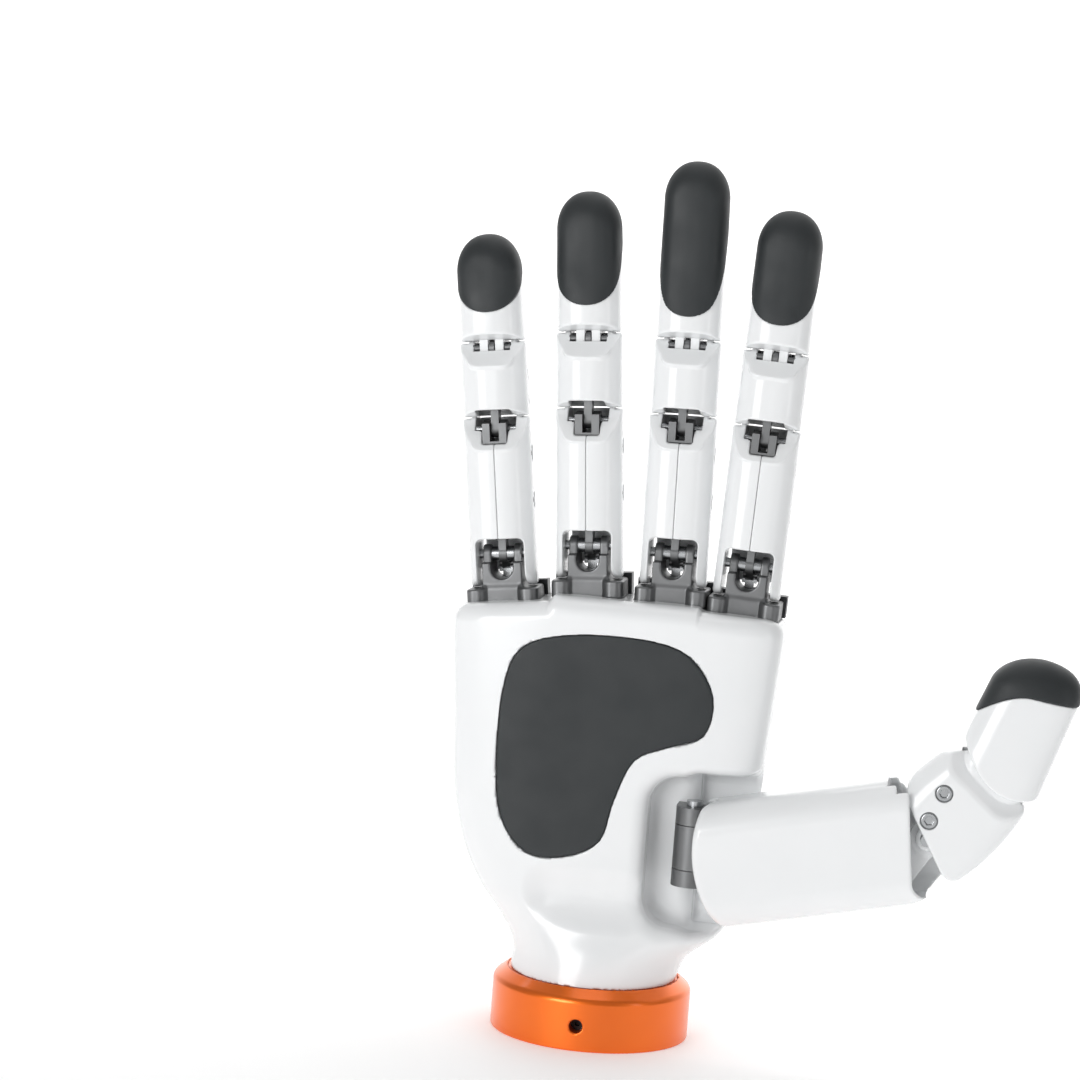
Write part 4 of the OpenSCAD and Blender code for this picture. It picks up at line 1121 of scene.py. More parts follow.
@dataclass
class Finger:
    """One finger: knuckle bracket, first and middle segments, fingertip shell and pad."""

    name: str
    pivot: Array
    lean: float
    tip_len: float
    pad_start: float
    skins: dict[tuple[str, float], Skin]
    s: Sizes = Sizes()
    bracket: Bracket = Bracket()

    def turn(self) -> Array:
        """The finger's lean as a matrix: a turn about Y that takes Z towards the thumb."""
        c, s = math.cos(self.lean), math.sin(self.lean)
        return np.array([[c, 0, s], [0, 1, 0], [-s, 0, c]])

    def local(self, p: Array) -> Array:
        """Points of the hand in the finger's own frame, in mm from its knuckle pivot."""
        return (p - self.pivot) @ self.turn()

    def knuckle(self, q: Array, z: float, r: float, next_w: float) -> Array:
        """Drum about a joint pivot, as wide as the next segment's inside, with round rims."""
        half = (next_w - 2 * self.s.wall - 2 * self.s.gap) / 2
        return drum(q, (self.s.hinge_y, z), r, half, self.s.inner - self.s.gap)

    def bevel(self, q: Array, end: float, drop: float, thick: float) -> Array:
        """Depth below the plane that slopes down to the palm from the hinge line."""
        k = drop / (thick / 2 + self.s.hinge_y)
        return (q[:, 2] - end + k * (self.s.hinge_y - q[:, 1])) / math.hypot(1, k)

    def foot(self, q: Array, start: float, thick: float) -> Array:
        """Depth above a segment's start, which rises a little on the palm side.

        Args:
            q: Points in the finger's frame, in mm.
            start: Height of the segment's start behind the hinge line.
            thick: The segment's depth from front to back.
        Returns:
            Depth, negative above the start.
        """
        k = self.s.rise / (thick / 2 + self.s.hinge_y)
        slope = (start + k * (self.s.hinge_y - q[:, 1]) - q[:, 2]) / math.hypot(1, k)
        return rounded_both(slope, start - q[:, 2], self.s.foot_edge)

    def window(self, q: Array, z: float, r: float, width: float) -> Array:
        """Slot in a knuckle for the next segment's fork, open to the back and the end."""
        return shared(bore(q, self.s.hinge_y, z, r + self.s.window_gap),
                      np.abs(q[:, 0]) - width / 2,
                      self.s.hinge_y - self.s.window_front - q[:, 1])

    def base_form(self, q: Array) -> Array:
        """First segment: round-cornered column with a half-round root, both halves.

        Args:
            q: Points in the finger's frame, in mm.
        Returns:
            Depth below the surface, negative inside.
        """
        s = self.s
        column = rounded_sheet(q[:, 0], q[:, 1], s.base_w, s.base_t, s.corner)
        root = np.hypot(q[:, 1], np.minimum(q[:, 2], 0.0)) - s.base_t / 2
        form = rounded_both(column, root, s.root_edge)
        form = rounded_both(form, q[:, 2] - s.base_len + s.gap, s.edge)
        form = rounded_join(form, self.knuckle(q, s.mid_pivot, s.mid_r, s.mid_w), s.drum_fillet)
        form = rounded_both(form, self.bevel(q, s.base_len - s.gap, s.mid_bevel, s.base_t), s.edge)
        gate = rounded_both(np.abs(q[:, 0]) - s.gate_half, q[:, 2] - s.gate_top, s.gate_corner)
        form = carve(form, shared(gate, q[:, 1] - s.gate_back), s.gate_rim)
        across, along = s.room_half
        room = Box((-across, -along, s.room_low), (across, along, s.base_len - s.room_drop))
        form = shared(form, -room.depth(q))
        form = carve(form, self.window(q, s.mid_pivot, s.mid_r, s.mid_window), s.window_rim)
        yoke = Box((-s.yoke_half, -s.far, s.base_len - s.yoke_drop),
                   (s.yoke_half, s.yoke_back, s.base_len + s.far), s.yoke_edge)
        form = carve(form, yoke.depth(q), s.yoke_rim)
        form = shared(form, -drum(q, (0.0, 0.0), s.pin_r, s.pin_half))
        for z in s.base_screws:
            hole = shared(bore(q, s.base_screw_y, z, s.base_screw_r), s.base_screw_x - q[:, 0])
            form = carve(form, hole, s.base_screw_rim)
        return form

    def base_half(self, side: int) -> Field:
        """One half of the first segment, its seam edge rounded: left is -1, right is 1."""
        return lambda q: rounded_both(self.base_form(q), self.s.seam_gap - side * q[:, 0],
                                      self.s.seam_edge)

    def hollow(self, q: Array, width: float, thick: float) -> Array:
        """Depth into a segment's inside, a wall in from its outline."""
        wall = 2 * self.s.wall
        return rounded_sheet(q[:, 0], q[:, 1], width - wall, thick - wall, self.s.inner)

    def mid_form(self, q: Array) -> Array:
        """Middle segment: hollow root over the first knuckle, own knuckle at its end.

        Args:
            q: Points in the finger's frame, in mm.
        Returns:
            Depth below the surface, negative inside.
        """
        s = self.s
        column = rounded_sheet(q[:, 0], q[:, 1], s.mid_w, s.mid_t, s.mid_corner)
        form = rounded_both(column, self.foot(q, s.base_len, s.mid_t), s.edge)
        form = rounded_both(form, q[:, 2] - s.mid_end + s.gap, s.edge)
        form = rounded_join(form, self.knuckle(q, s.end_pivot, s.end_r, s.tip_w), s.drum_fillet)
        form = rounded_both(form, self.bevel(q, s.mid_end - s.gap, s.end_bevel, s.mid_t), s.edge)
        behind = either(s.hinge_y - q[:, 1], np.abs(q[:, 0]) - s.hollow_half)
        room = shared(self.hollow(q, s.mid_w, s.mid_t), behind,
                      q[:, 2] - (s.mid_pivot + s.mid_r + s.hollow_top))
        form = carve(form, room, s.hollow_rim)
        notch = Box((-s.hollow_half, -s.far, s.notch_low),
                    (s.hollow_half, s.hinge_y, s.base_len + s.rise - s.notch_drop), s.notch_edge)
        form = carve(form, notch.depth(q), s.notch_edge)
        form = carve(form, self.window(q, s.end_pivot, s.end_r, s.end_window), s.window_rim)
        slot = Box((-s.slot_half, s.slot_y[0], s.base_len),
                   (s.slot_half, s.slot_y[1], s.base_len + s.slot_len))
        form = shared(form, -slot.depth(q))
        for z in s.mid_screws:
            hole = shared(bore(q, s.mid_screw_y, s.base_len + z, s.mid_screw_r),
                          s.mid_w / 2 - s.mid_screw_t - q[:, 0])
            form = carve(form, hole, s.mid_screw_rim)
        return form

    def tip_form(self, q: Array, grow: float) -> Array:
        """Fingertip: a domed column that bows a little towards the palm as it rises.

        Args:
            q: Points in the finger's frame, in mm.
            grow: How far the form stands out from the shell, in mm.
        Returns:
            Depth below the surface, negative inside.
        """
        s = self.s
        dome = s.tip_w * s.dome
        tip = DomedTip(s.mid_end, self.tip_len - dome, dome + grow,
                       (s.tip_w / 2 + grow, s.tip_t / 2 + grow), s.square,
                       lambda t, h: s.bow * s.tip_t * t * t)
        return true_depth(tip.rough, q)

    def pad_region(self, q: Array) -> Array:
        """Depth into the pad's part of the tip: before a slanted plane, over a round low end.

        Args:
            q: Points in the finger's frame, in mm.
        Returns:
            Depth, negative in the pad's part.
        """
        s = self.s
        low = s.mid_end + self.pad_start
        k = (self.tip_len - self.pad_start - s.pad_drop) / s.tip_t
        plane = (low + k * (q[:, 1] + s.tip_t / 2) - q[:, 2]) / math.hypot(1, k)
        r = s.tip_w / 2 + s.pad_round
        end = np.hypot(q[:, 0], np.minimum(q[:, 2] - (low + r), 0.0)) - r
        return rounded_both(plane, end, s.pad_edge)

    def fork(self, q: Array, top: float) -> Array:
        """Fork on the end joint: two round cheeks on a stem that reaches up into the tip.

        Args:
            q: Points in the finger's frame, in mm.
            top: Height of the stem's upper end.
        Returns:
            Depth below the surface, negative inside.
        """
        s = self.s
        half, front = s.fork_w / 2, s.hinge_y - s.fork_front
        cheeks = shared(drum(q, (s.hinge_y, s.end_pivot), s.end_r - s.gap, half),
                        front - q[:, 1])
        stem = Box((-half, front, s.end_pivot), (half, s.hinge_y + s.fork_back, top))
        blade = Box((-s.fork_slot / 2, -s.far, s.end_pivot - s.far),
                    (s.fork_slot / 2, s.far, s.end_pivot + s.end_r))
        return shared(either(cheeks, stem.depth(q)), -blade.depth(q),
                      -bore(q, s.hinge_y, s.end_pivot, s.fork_pin))

    def tip_shell(self, q: Array) -> Array:
        """White part of the fingertip, hollow at its root, with the fork on the end joint.

        Args:
            q: Points in the finger's frame, in mm.
        Returns:
            Depth below the surface, negative inside.
        """
        s = self.s
        form = rounded_both(self.tip_form(q, 0.0), self.foot(q, s.mid_end, s.tip_t), s.edge)
        form = carve(form, self.pad_region(q), s.shell_rim)
        top = s.end_pivot + s.end_r + s.hollow_top
        room = shared(self.hollow(q, s.tip_w, s.tip_t), s.hinge_y - q[:, 1], q[:, 2] - top)
        form = carve(form, room, s.hollow_rim)
        blade = drum(q, (s.hinge_y, s.end_pivot), s.fork_room, s.fork_slot / 2)
        return either(shared(form, -blade), self.fork(q, top + s.fork_lap))

    def tip_pad(self, q: Array) -> Array:
        """Rubber part of the fingertip: a little proud, with a flattened face.

        The flat is a shallow step: its depth times exp(-(x / half)^6), faded in above the
        lower end and out again over the dome by the curve 3 w^2 - 2 w^3.

        Args:
            q: Points in the finger's frame, in mm.
        Returns:
            Depth below the surface, negative inside.
        """
        s = self.s
        low = np.clip((q[:, 2] - s.mid_end - self.pad_start - s.fade_low) / s.fade, 0.0, 1.0)
        high = np.clip((s.mid_end + self.tip_len - s.fade_high - q[:, 2]) / s.fade, 0.0, 1.0)
        w = low * high
        fade = w ** 2 * (3 - 2 * w) * (q[:, 1] < 0)
        form = self.tip_form(q, s.skin) + s.flat * np.exp(-(q[:, 0] / s.flat_half) ** 6) * fade
        return rounded_both(form, self.pad_region(q) + s.rubber_gap, s.rubber_edge)

    def make(self, name: str, form: Field, box: tuple[Point, Point], pitch: float, slot: str,
             body: str, node: str) -> None:
        """Builds one piece in the finger's frame and sets it in the hand.

        Fingers share a skin where their forms are alike: all but the tips, and those too
        where the tips are of one length.

        Args:
            name: The piece's name without the finger's.
            form: Its depth field in the finger's frame.
            box: Corners of a box that holds it.
            pitch: Grid spacing in mm.
            slot: The record's material slot.
            body: The moving body it rides on, without the finger's name.
            node: The node it stands for, without the finger's name.
        """
        key = (name, self.tip_len if "tip" in name else 0.0)
        if key not in self.skins:
            self.skins[key] = skin_of(form, *box, pitch)
        fit(f"{self.name}_{name}", self.skins[key].placed(self.turn(), self.pivot), slot,
            body if body == "palm" else f"{self.name}_{body}", f"{self.name}_{node}")

    def build(self) -> None:
        """Makes the finger's six outer pieces."""
        end = self.s.mid_end + self.tip_len + self.s.tip_room
        for row in (
                ("foot_bracket", self.bracket.form, ((-9.6, -7.0, -13.4), (9.6, 7.0, 2.8)),
                 0.32, "grey_metal", "palm", "bracket"),
                ("base_left", self.base_half(-1), ((-8.9, -8.6, -8.6), (0.3, 8.6, 41.0)),
                 0.36, "white_shell", "base", "shell_left"),
                ("base_right", self.base_half(1), ((-0.3, -8.6, -8.6), (8.9, 8.6, 41.0)),
                 0.36, "white_shell", "base", "shell_right"),
                ("middle_shell", self.mid_form, ((-8.7, -8.4, 33.0), (8.7, 8.4, 61.2)),
                 0.36, "white_shell", "mid", "middle"),
                ("end_tip_shell", self.tip_shell, ((-8.5, -9.2, 43.5), (8.5, 8.4, end)),
                 0.36, "white_shell", "tip", "tip_shell"),
                ("rubber_tip", self.tip_pad, ((-8.7, -9.6, 56.0), (8.7, 8.7, end)),
                 0.32, "rubber_pad", "tip", "tip_pad")):
            self.make(*row)


# ---------------------------------------------------------------- thumb

@dataclass
class Thumb:
    """The thumb: a long first segment on a vertical hinge, a second segment and a tip.

    Each segment's frame has X to the front, -Y to the palm side and Z along it.
    """

    hinge: Pair = (23.9, -9.0)
    joint_z: float = 60.8
    length: float = 60.5
    # Angles in degrees: the first segment's above the level, and the two bends at rest.
    lean: float = 13.3
    bend: float = 36.7
    tip_bend: float = 20.0
    # Each segment's width and depth, and the lengths past the first.
    width: float = 22.0
    thick: float = 31.6
    mid_w: float = 17.4
    mid_t: float = 25.4
    mid_len: float = 24.9
    tip_w: float = 17.4
    tip_t: float = 24.0
    tip_len: float = 29.2
    gap: float = 0.35
    # First segment: side walls, corners, domed root, lip, and the eased corner behind the
    # open end.
    wall: float = 2.0
    corner: float = 7.6
    end: float = 1.8
    root_more: float = 0.2
    root_edge: float = 1.6
    lip: float = 3.2
    lip_edge: float = 0.8
    ease_y: float = 10.6
    ease_slope: Pair = (0.766, 0.643)
    ease_edge: float = 3.0
    # Its open end: the scoop that the second segment turns in and the gate on the palm side,
    # as half width and lowest height of its two steps.
    scoop: float = 15.2
    scoop_wall: float = 3.0
    scoop_corner: float = 5.6
    scoop_rim: float = 0.5
    gate: tuple[Pair, Pair] = ((9.0, -5.5), (6.8, -7.7))
    # Its front wall's rim: height, slope, and the edges where it stops.
    rim_z: float = -3.9
    rim_slope: float = 0.12
    rim_x: float = 3.4
    rim_low: float = -8.0
    rim_back: float = 14.6
    rim_corner: float = 5.0
    rim_edge: float = 0.8
    # The slanted cut on the palm side behind that rim.
    back_slope: float = 0.42
    back_y: float = -10.0
    back_z: float = 3.5
    back_end: float = 8.0
    # Room for the bending drive along it, the hinge post and the arm that carries it.
    bay_r: float = 6.5
    bay_half: float = 14.0
    bay_under: float = 13.0
    post_r: float = 5.3
    post_rim: float = 0.4
    arm_half: float = 4.75
    arm_len: float = 14.05
    arm_z: Pair = (46.35, 57.65)
    # Lug that holds the bending pin, on a web at 45 degrees.
    lug_r: float = 4.5
    lug_half: float = 3.1
    lug_edge: float = 0.3
    lug_pin: float = 1.6
    web: Box = Box((-3.0, -3.5, -17.0), (3.0, 3.5, 0.0))
    web_fillet: float = 0.8
    # Second segment: swelling front to back, slanted root, edges and flat end.
    mid_corner: float = 6.6
    swell: float = 13.8
    swell_loss: float = 0.009
    swell_z: float = 8.0
    least_swell: float = 8.0
    root_z: float = -0.3
    root_slope: float = 0.36
    root_out: float = 0.8
    root_round: float = 5.5
    near_gap: float = 0.6
    mid_edge: float = 0.8
    mid_drop: float = 2.0
    side_z: float = 16.6
    side_slope: float = 1.2
    side_edge: float = 0.6
    # Its cheeks beside the lug, knuckle drum, and bevel on the palm side.
    cheek_r: float = 3.0
    cheek_x: Pair = (3.45, 5.4)
    cheek_edge: float = 0.6
    cheek_fillet: float = 1.0
    drum_in: float = 2.15
    drum_wall: float = 2.2
    drum_edge: float = 4.0
    drum_fillet: float = 0.2
    bevel_in: float = 4.0
    bevel_h: float = 18.0
    # Its pin hole, room for the lug and its web, slot for the tip's tongue, and screws.
    pin_r: float = 1.65
    pin_in: float = 1.15
    eye_r: float = 4.85
    eye_half: float = 3.45
    way: Box = Box((-3.3, -7.6, -20.0), (3.3, 40.0, 3.2))
    tongue_slot: float = 3.2
    tongue_gap: float = 0.2
    slot_rim: float = 0.3
    screws: tuple[Pair, Pair] = ((-3.3, 4.1), (-5.5, 11.6))
    screw_r: float = 2.2
    screw_t: float = 1.4
    screw_rim: float = 0.25
    # The screws themselves and the end joint's pin.
    head_r: float = 2.05
    head_h: float = 1.0
    head_in: float = 0.35
    head_edge: float = 0.3
    socket_r: float = 1.0
    socket_h: float = 0.7
    socket_turn: float = 0.3
    socket_edge: float = 0.12
    end_pin_r: float = 1.49
    end_pin_in: float = 3.2
    end_pin_edge: float = 0.2
    # Tip: where its column starts, dome over width, squareness, and bow over depth.
    tip_start: float = -8.0
    dome: float = 0.56
    square: Pair = (3.0, 0.7)
    bow: float = 0.1
    bow_power: float = 1.5
    tip_in: float = 0.2
    # Its bowed root, as height, curve and middle, and the arched line of the rubber.
    cup_z: float = -5.3
    cup_curve: float = 0.04
    cup_y: float = 4.0
    cup_edge: float = 0.7
    arch_z: float = 20.0
    arch_slope: float = 0.2
    arch_curve: float = 0.055
    arch_rim: float = 0.25
    # Its inside and the tongue in the second segment's slot.
    tip_wall: float = 1.8
    tip_corner: float = 4.0
    tip_rim: float = 0.3
    tongue_more: float = 0.6
    tongue_half: float = 2.8
    tongue_y: float = -7.0
    tongue_z: Pair = (-4.0, -4.1)
    tongue_turn: float = 26.0
    tongue_pin: float = 1.55
    # Rubber: how proud it stands, its gap to the shell and its edge.
    skin: float = 0.3
    rubber_gap: float = 0.02
    rubber_edge: float = 0.4

    @staticmethod
    def along(angle: float) -> Array:
        """Unit direction at an angle in degrees above the level, away from the palm."""
        return np.array([math.cos(math.radians(angle)), 0.0, math.sin(math.radians(angle))])

    def frames(self) -> list[tuple[Array, Array]]:
        """Turn and origin of each segment's frame.

        Returns:
            Three pairs: a 3 by 3 matrix from the segment's frame to the hand's, and its origin.
        """
        front = np.array([0.0, -1.0, 0.0])
        angle, found = self.lean, []
        origin = np.array([self.hinge[0] + self.length * math.cos(math.radians(self.lean)),
                           self.hinge[1], self.joint_z])
        for step, reach in ((0.0, 0.0), (self.bend, 0.0), (self.tip_bend, self.mid_len)):
            origin = origin + reach * self.along(angle)
            angle += step
            along = self.along(angle)
            found.append((np.stack([front, np.cross(along, front), along], axis=1), origin))
        return found

    @property
    def drum_r(self) -> float:
        """Radius of the second segment's knuckle inside the tip."""
        return self.tip_t / 2 - self.drum_in

    def lug(self, q: Array) -> Array:
        """Lug inside the open end that holds the bending joint's pin, on a slanted web.

        Args:
            q: Points in the first segment's frame, in mm.
        Returns:
            Depth below the surface, negative inside.
        """
        eye = drum(q, (0.0, 0.0), self.lug_r, self.lug_half, self.lug_edge)
        c = math.sqrt(0.5)
        r = np.stack([q[:, 0], (q[:, 1] + q[:, 2]) * c, (q[:, 2] - q[:, 1]) * c], axis=1)
        form = rounded_join(eye, self.web.depth(r), self.web_fillet)
        return shared(form, -bore(q, 0.0, 0.0, self.lug_pin))

    def open_end(self, q: Array) -> Array:
        """What is open at the first segment's end: scoop, and a gate in two steps.

        Args:
            q: Points in the first segment's frame, in mm.
        Returns:
            Depth into the opening, negative inside it.
        """
        inner = rounded_sheet(q[:, 0], q[:, 1], self.width - 2 * self.wall,
                              self.thick - self.scoop_wall, self.scoop_corner)
        gate = either(*(shared(np.abs(q[:, 0]) - half, low - q[:, 2]) for half, low in self.gate))
        return either(shared(bore(q, 0.0, 0.0, self.scoop), inner), shared(gate, q[:, 1]))

    def base(self, q: Array) -> Array:
        """First segment: round-cornered column with a domed root and an open scoop.

        Args:
            q: Points in its frame, in mm.
        Returns:
            Depth below the surface, negative inside.
        """
        x, y, z = q[:, 0], q[:, 1], q[:, 2]
        column = rounded_sheet(x, y, self.width, self.thick, self.corner)
        r = self.length / 2 + self.root_more
        root = np.hypot(y, np.minimum(z - (-self.length + self.end + r), 0.0)) - r
        form = rounded_both(column, root, self.root_edge)
        form = rounded_both(form, z - self.lip, self.lip_edge)
        ease = (y - self.ease_y) * self.ease_slope[0] + (z - self.lip) * self.ease_slope[1]
        form = rounded_both(form, ease, self.ease_edge)
        form = carve(form, self.open_end(q), self.scoop_rim)
        rim = shared(self.rim_z - self.rim_slope * y - z, either(self.rim_x - x, y - self.rim_low))
        form = carve(form, rounded_both(rim, y - self.rim_back, self.rim_corner), self.rim_edge)
        back = shared(self.back_slope * (y - self.back_y) - self.back_z - z, y - self.back_end,
                      x - self.rim_x)
        form = carve(form, back, self.rim_edge)
        bay = shared(np.hypot(x, y) - self.bay_r,
                     np.abs(z + self.scoop + self.bay_under) - self.bay_half)
        form = either(shared(form, -bay), self.lug(q))
        turn, origin = self.frames()[0]
        p = q @ turn.T + origin
        across, along = self.hinge
        post = np.hypot(p[:, 0] - across, p[:, 1] - along) - self.post_r
        form = carve(form, post, self.post_rim)
        arm = Box((across, along - self.arm_half, self.arm_z[0]),
                  (across + self.arm_len, along + self.arm_half, self.arm_z[1]))
        return shared(form, -arm.depth(p))

    def knuckle(self, q: Array, z: float, r: float, width: float) -> Array:
        """Drum about the end joint with rounded rims."""
        return drum(q, (0.0, z), r, width / 2, self.drum_edge)

    def middle(self, q: Array) -> Array:
        """Second segment: slanted root, flat end with a bevel on the palm side, and a drum.

        Its half depth is a parabola in height: the swelling less a loss times the square of
        the height above its fullest place.

        Args:
            q: Points in its frame, in mm.
        Returns:
            Depth below the surface, negative inside.
        """
        z = q[:, 2]
        swell = self.swell - self.swell_loss * (z - self.swell_z) ** 2
        y = q[:, 1] * self.mid_t / 2 / np.maximum(swell, self.least_swell)
        column = rounded_sheet(q[:, 0], y, self.mid_w, self.mid_t, self.mid_corner)
        slant = (self.root_z - self.root_slope * q[:, 1] - z) / math.hypot(1, self.root_slope)
        outline = rounded_both(slant, np.abs(y) - self.mid_t / 2 - self.root_out,
                               self.root_round)
        form = rounded_both(column, outline, self.mid_edge)
        near = np.hypot(q[:, 1], np.minimum(z, 0.0)) - self.scoop + self.near_gap
        form = rounded_both(form, near, self.mid_edge)
        end = self.mid_len - self.mid_drop
        form = rounded_both(form, z - end, self.mid_drop)
        side = z - self.side_z + self.side_slope * (np.abs(q[:, 0]) - self.mid_w / 2)
        form = rounded_both(form, side / math.hypot(1, self.side_slope), self.side_edge)
        inner, outer = self.cheek_x
        for out in (-1, 1):
            cheek = drum(q, (0.0, 0.0), self.cheek_r, (outer - inner) / 2, self.cheek_edge,
                         out * (inner + outer) / 2)
            form = rounded_join(form, cheek, self.cheek_fillet)
        knuckle = self.knuckle(q, self.mid_len, self.drum_r, self.tip_w - 2 * self.drum_wall)
        form = rounded_join(form, knuckle, self.drum_fillet)
        reach = self.mid_t / 2 - self.bevel_in
        rise = self.bevel_h / (self.mid_t - reach)
        bevel = (z - end - rise * (q[:, 1] + reach)) / math.hypot(1, rise)
        form = carve(form, shared(-bevel, q[:, 1] + reach), self.mid_edge)
        pin = drum(q, (0.0, 0.0), self.pin_r, self.mid_w / 2 - self.pin_in)
        eye = drum(q, (0.0, 0.0), self.eye_r, self.eye_half)
        form = shared(form, -pin, -either(eye, self.way.depth(q)))
        slot = drum(q, (0.0, self.mid_len), self.drum_r + self.tongue_gap, self.tongue_slot)
        form = carve(form, slot, self.slot_rim)
        for y, z in self.screws:
            hole = shared(bore(q, y, z, self.screw_r), self.mid_w / 2 - self.screw_t - q[:, 0])
            form = carve(form, hole, self.screw_rim)
        return form

    def pins(self, q: Array) -> Array:
        """Two socket screws in the second segment's side and the end joint's pin.

        A socket is a hexagon: the greatest reach along three directions 60 degrees apart.

        Args:
            q: Points in the second segment's frame, in mm.
        Returns:
            Depth below the surface, negative inside.
        """
        form = drum(q, (0.0, self.mid_len), self.end_pin_r, self.tip_w / 2 - self.end_pin_in,
                    self.end_pin_edge)
        top = self.mid_w / 2 - self.head_in
        for y, z in self.screws:
            head = drum(q, (y, z), self.head_r, self.head_h / 2, self.head_edge,
                        top - self.head_h / 2)
            angles = (self.socket_turn + k * math.pi / 3 for k in range(3))
            hexagon = shared(*(np.abs((q[:, 1] - y) * math.cos(a) + (q[:, 2] - z) * math.sin(a))
                               for a in angles)) - self.socket_r
            socket = shared(hexagon, top - self.socket_h - q[:, 0])
            form = either(form, carve(head, socket, self.socket_edge))
        return form

    def tip_form(self, q: Array, grow: float) -> Array:
        """Thumb tip: a wide domed column whose dome bows away from the palm side.

        Args:
            q: Points in the tip's frame, in mm.
            grow: How far the form stands out from the shell, in mm.
        Returns:
            Depth below the surface, negative inside.
        """
        dome = self.tip_w * self.dome
        halves = (self.tip_w / 2 + grow, self.tip_t / 2 + grow - self.tip_in)
        tip = DomedTip(self.tip_start, self.tip_len - self.tip_start - dome, dome + grow,
                       halves, self.square,
                       lambda t, h: self.bow * self.tip_t * h ** self.bow_power)
        return true_depth(tip.rough, q)

    def pad_region(self, q: Array) -> Array:
        """Depth beyond the arched line where the thumb's rubber starts."""
        y = np.minimum(q[:, 1], 0.0)
        line = self.arch_z + self.arch_slope * q[:, 1] - self.arch_curve * y * y
        return (line - q[:, 2]) / np.hypot(1, self.arch_slope - 2 * self.arch_curve * y)

    def root_cut(self, q: Array) -> Array:
        """Depth above the tip's root, which is bowed like a shallow cup."""
        y = q[:, 1] - self.cup_y
        return ((self.cup_curve * y * y + self.cup_z - q[:, 2])
                / np.hypot(1, 2 * self.cup_curve * y))

    def tip_shell(self, q: Array) -> Array:
        """White part of the thumb's tip, hollow at its root, with the hinge tongue.

        Args:
            q: Points in the tip's frame, in mm.
        Returns:
            Depth below the surface, negative inside.
        """
        form = rounded_both(self.tip_form(q, 0.0), self.root_cut(q), self.cup_edge)
        form = carve(form, self.pad_region(q), self.arch_rim)
        inside, room = self.tip_w - 2 * self.tip_wall, self.drum_r + self.gap
        column = rounded_sheet(q[:, 0], q[:, 1], inside, 2 * room, self.tip_corner)
        hollow = either(self.knuckle(q, 0.0, room, inside), shared(column, q[:, 2]))
        form = carve(form, hollow, self.tip_rim)
        a = math.radians(self.tongue_turn)
        flat, slant = self.tongue_z
        low = -((q[:, 2] - slant) * math.cos(a) + q[:, 1] * math.sin(a))
        tongue = drum(q, (0.0, 0.0), self.drum_r + self.tongue_more, self.tongue_half)
        tongue = shared(tongue, self.tongue_y - q[:, 1], low, flat - q[:, 2],
                        -bore(q, 0.0, 0.0, self.tongue_pin))
        return either(form, tongue)

    def tip_pad(self, q: Array) -> Array:
        """Rubber part of the thumb's tip, a little proud of the shell."""
        return rounded_both(self.tip_form(q, self.skin), self.pad_region(q) + self.rubber_gap,
                            self.rubber_edge)

    def build(self) -> None:
        """Makes the thumb's five outer pieces."""
        base, mid, tip = self.frames()
        for name, form, low, high, pitch, (turn, origin), slot, body, node in (
                ("thumb_long_shell", self.base, (-11.4, -16.4, -60.0), (11.4, 16.4, 2.0), 0.5,
                 base, "white_shell", "thumb_base", "thumb_base_shell"),
                ("thumb_link_shell", self.middle, (-9.2, -13.2, -16.0), (9.2, 13.2, 36.0), 0.42,
                 mid, "white_shell", "thumb_mid", "thumb_middle_shell"),
                ("thumb_end_shell", self.tip_shell, (-9.2, -14.0, -9.0), (9.2, 13.0, 30.0), 0.42,
                 tip, "white_shell", "thumb_tip", "thumb_tip_shell"),
                ("thumb_fasteners", self.pins, (-5.6, -7.8, 1.8), (8.5, 1.6, 26.6), 0.2,
                 mid, "steel", "thumb_mid", "thumb_middle_pins"),
                ("thumb_rubber", self.tip_pad, (-9.4, -14.4, 8.0), (9.4, 13.0, 31.0), 0.42,
                 tip, "rubber_pad", "thumb_tip", "thumb_tip_pad")):
            fit(name, skin_of(form, low, high, pitch).placed(turn, origin), slot, body, node)


# ---------------------------------------------------------------- studio

def pose_matrix(x: Array, y: Array, z: Array, place: Point) -> Matrix:
    """A pose as a 4 by 4 matrix: the three axes as columns, then the place.

    Args:
        x, y, z: The object's axes in the world.
        place: Its origin in metres.
    Returns:
        The matrix.
    """
    matrix = np.eye(4)
    matrix[:3, :] = np.stack([x, y, z, place], axis=1)
    return Matrix(matrix.tolist())


@dataclass(frozen=True)
class Light:
    """One soft rectangular light that looks at a point, in metres and watts."""

    name: str
    place: Point
    aim: Point
    size: Pair
    power: float

    def build(self) -> None:
        """Adds the light: its Z axis points from the aim back to the light."""
        data = bpy.data.lights.new(self.name, "AREA")
        data.shape = "RECTANGLE"
        data.size, data.size_y = self.size
        data.energy = self.power
        back = np.array(self.place) - np.array(self.aim)
        back /= np.linalg.norm(back)
        side = np.cross([0.0, 0.0, 1.0], back)
        side /= np.linalg.norm(side)
        made = bpy.data.objects.new(self.name, data)
        bpy.context.scene.collection.objects.link(made)
        made.matrix_world = pose_matrix(side, np.cross(back, side), back, self.place)


HAND_MIDDLE: Point = (0.01, 0.0, 0.12)  # what the lights look at, in metres


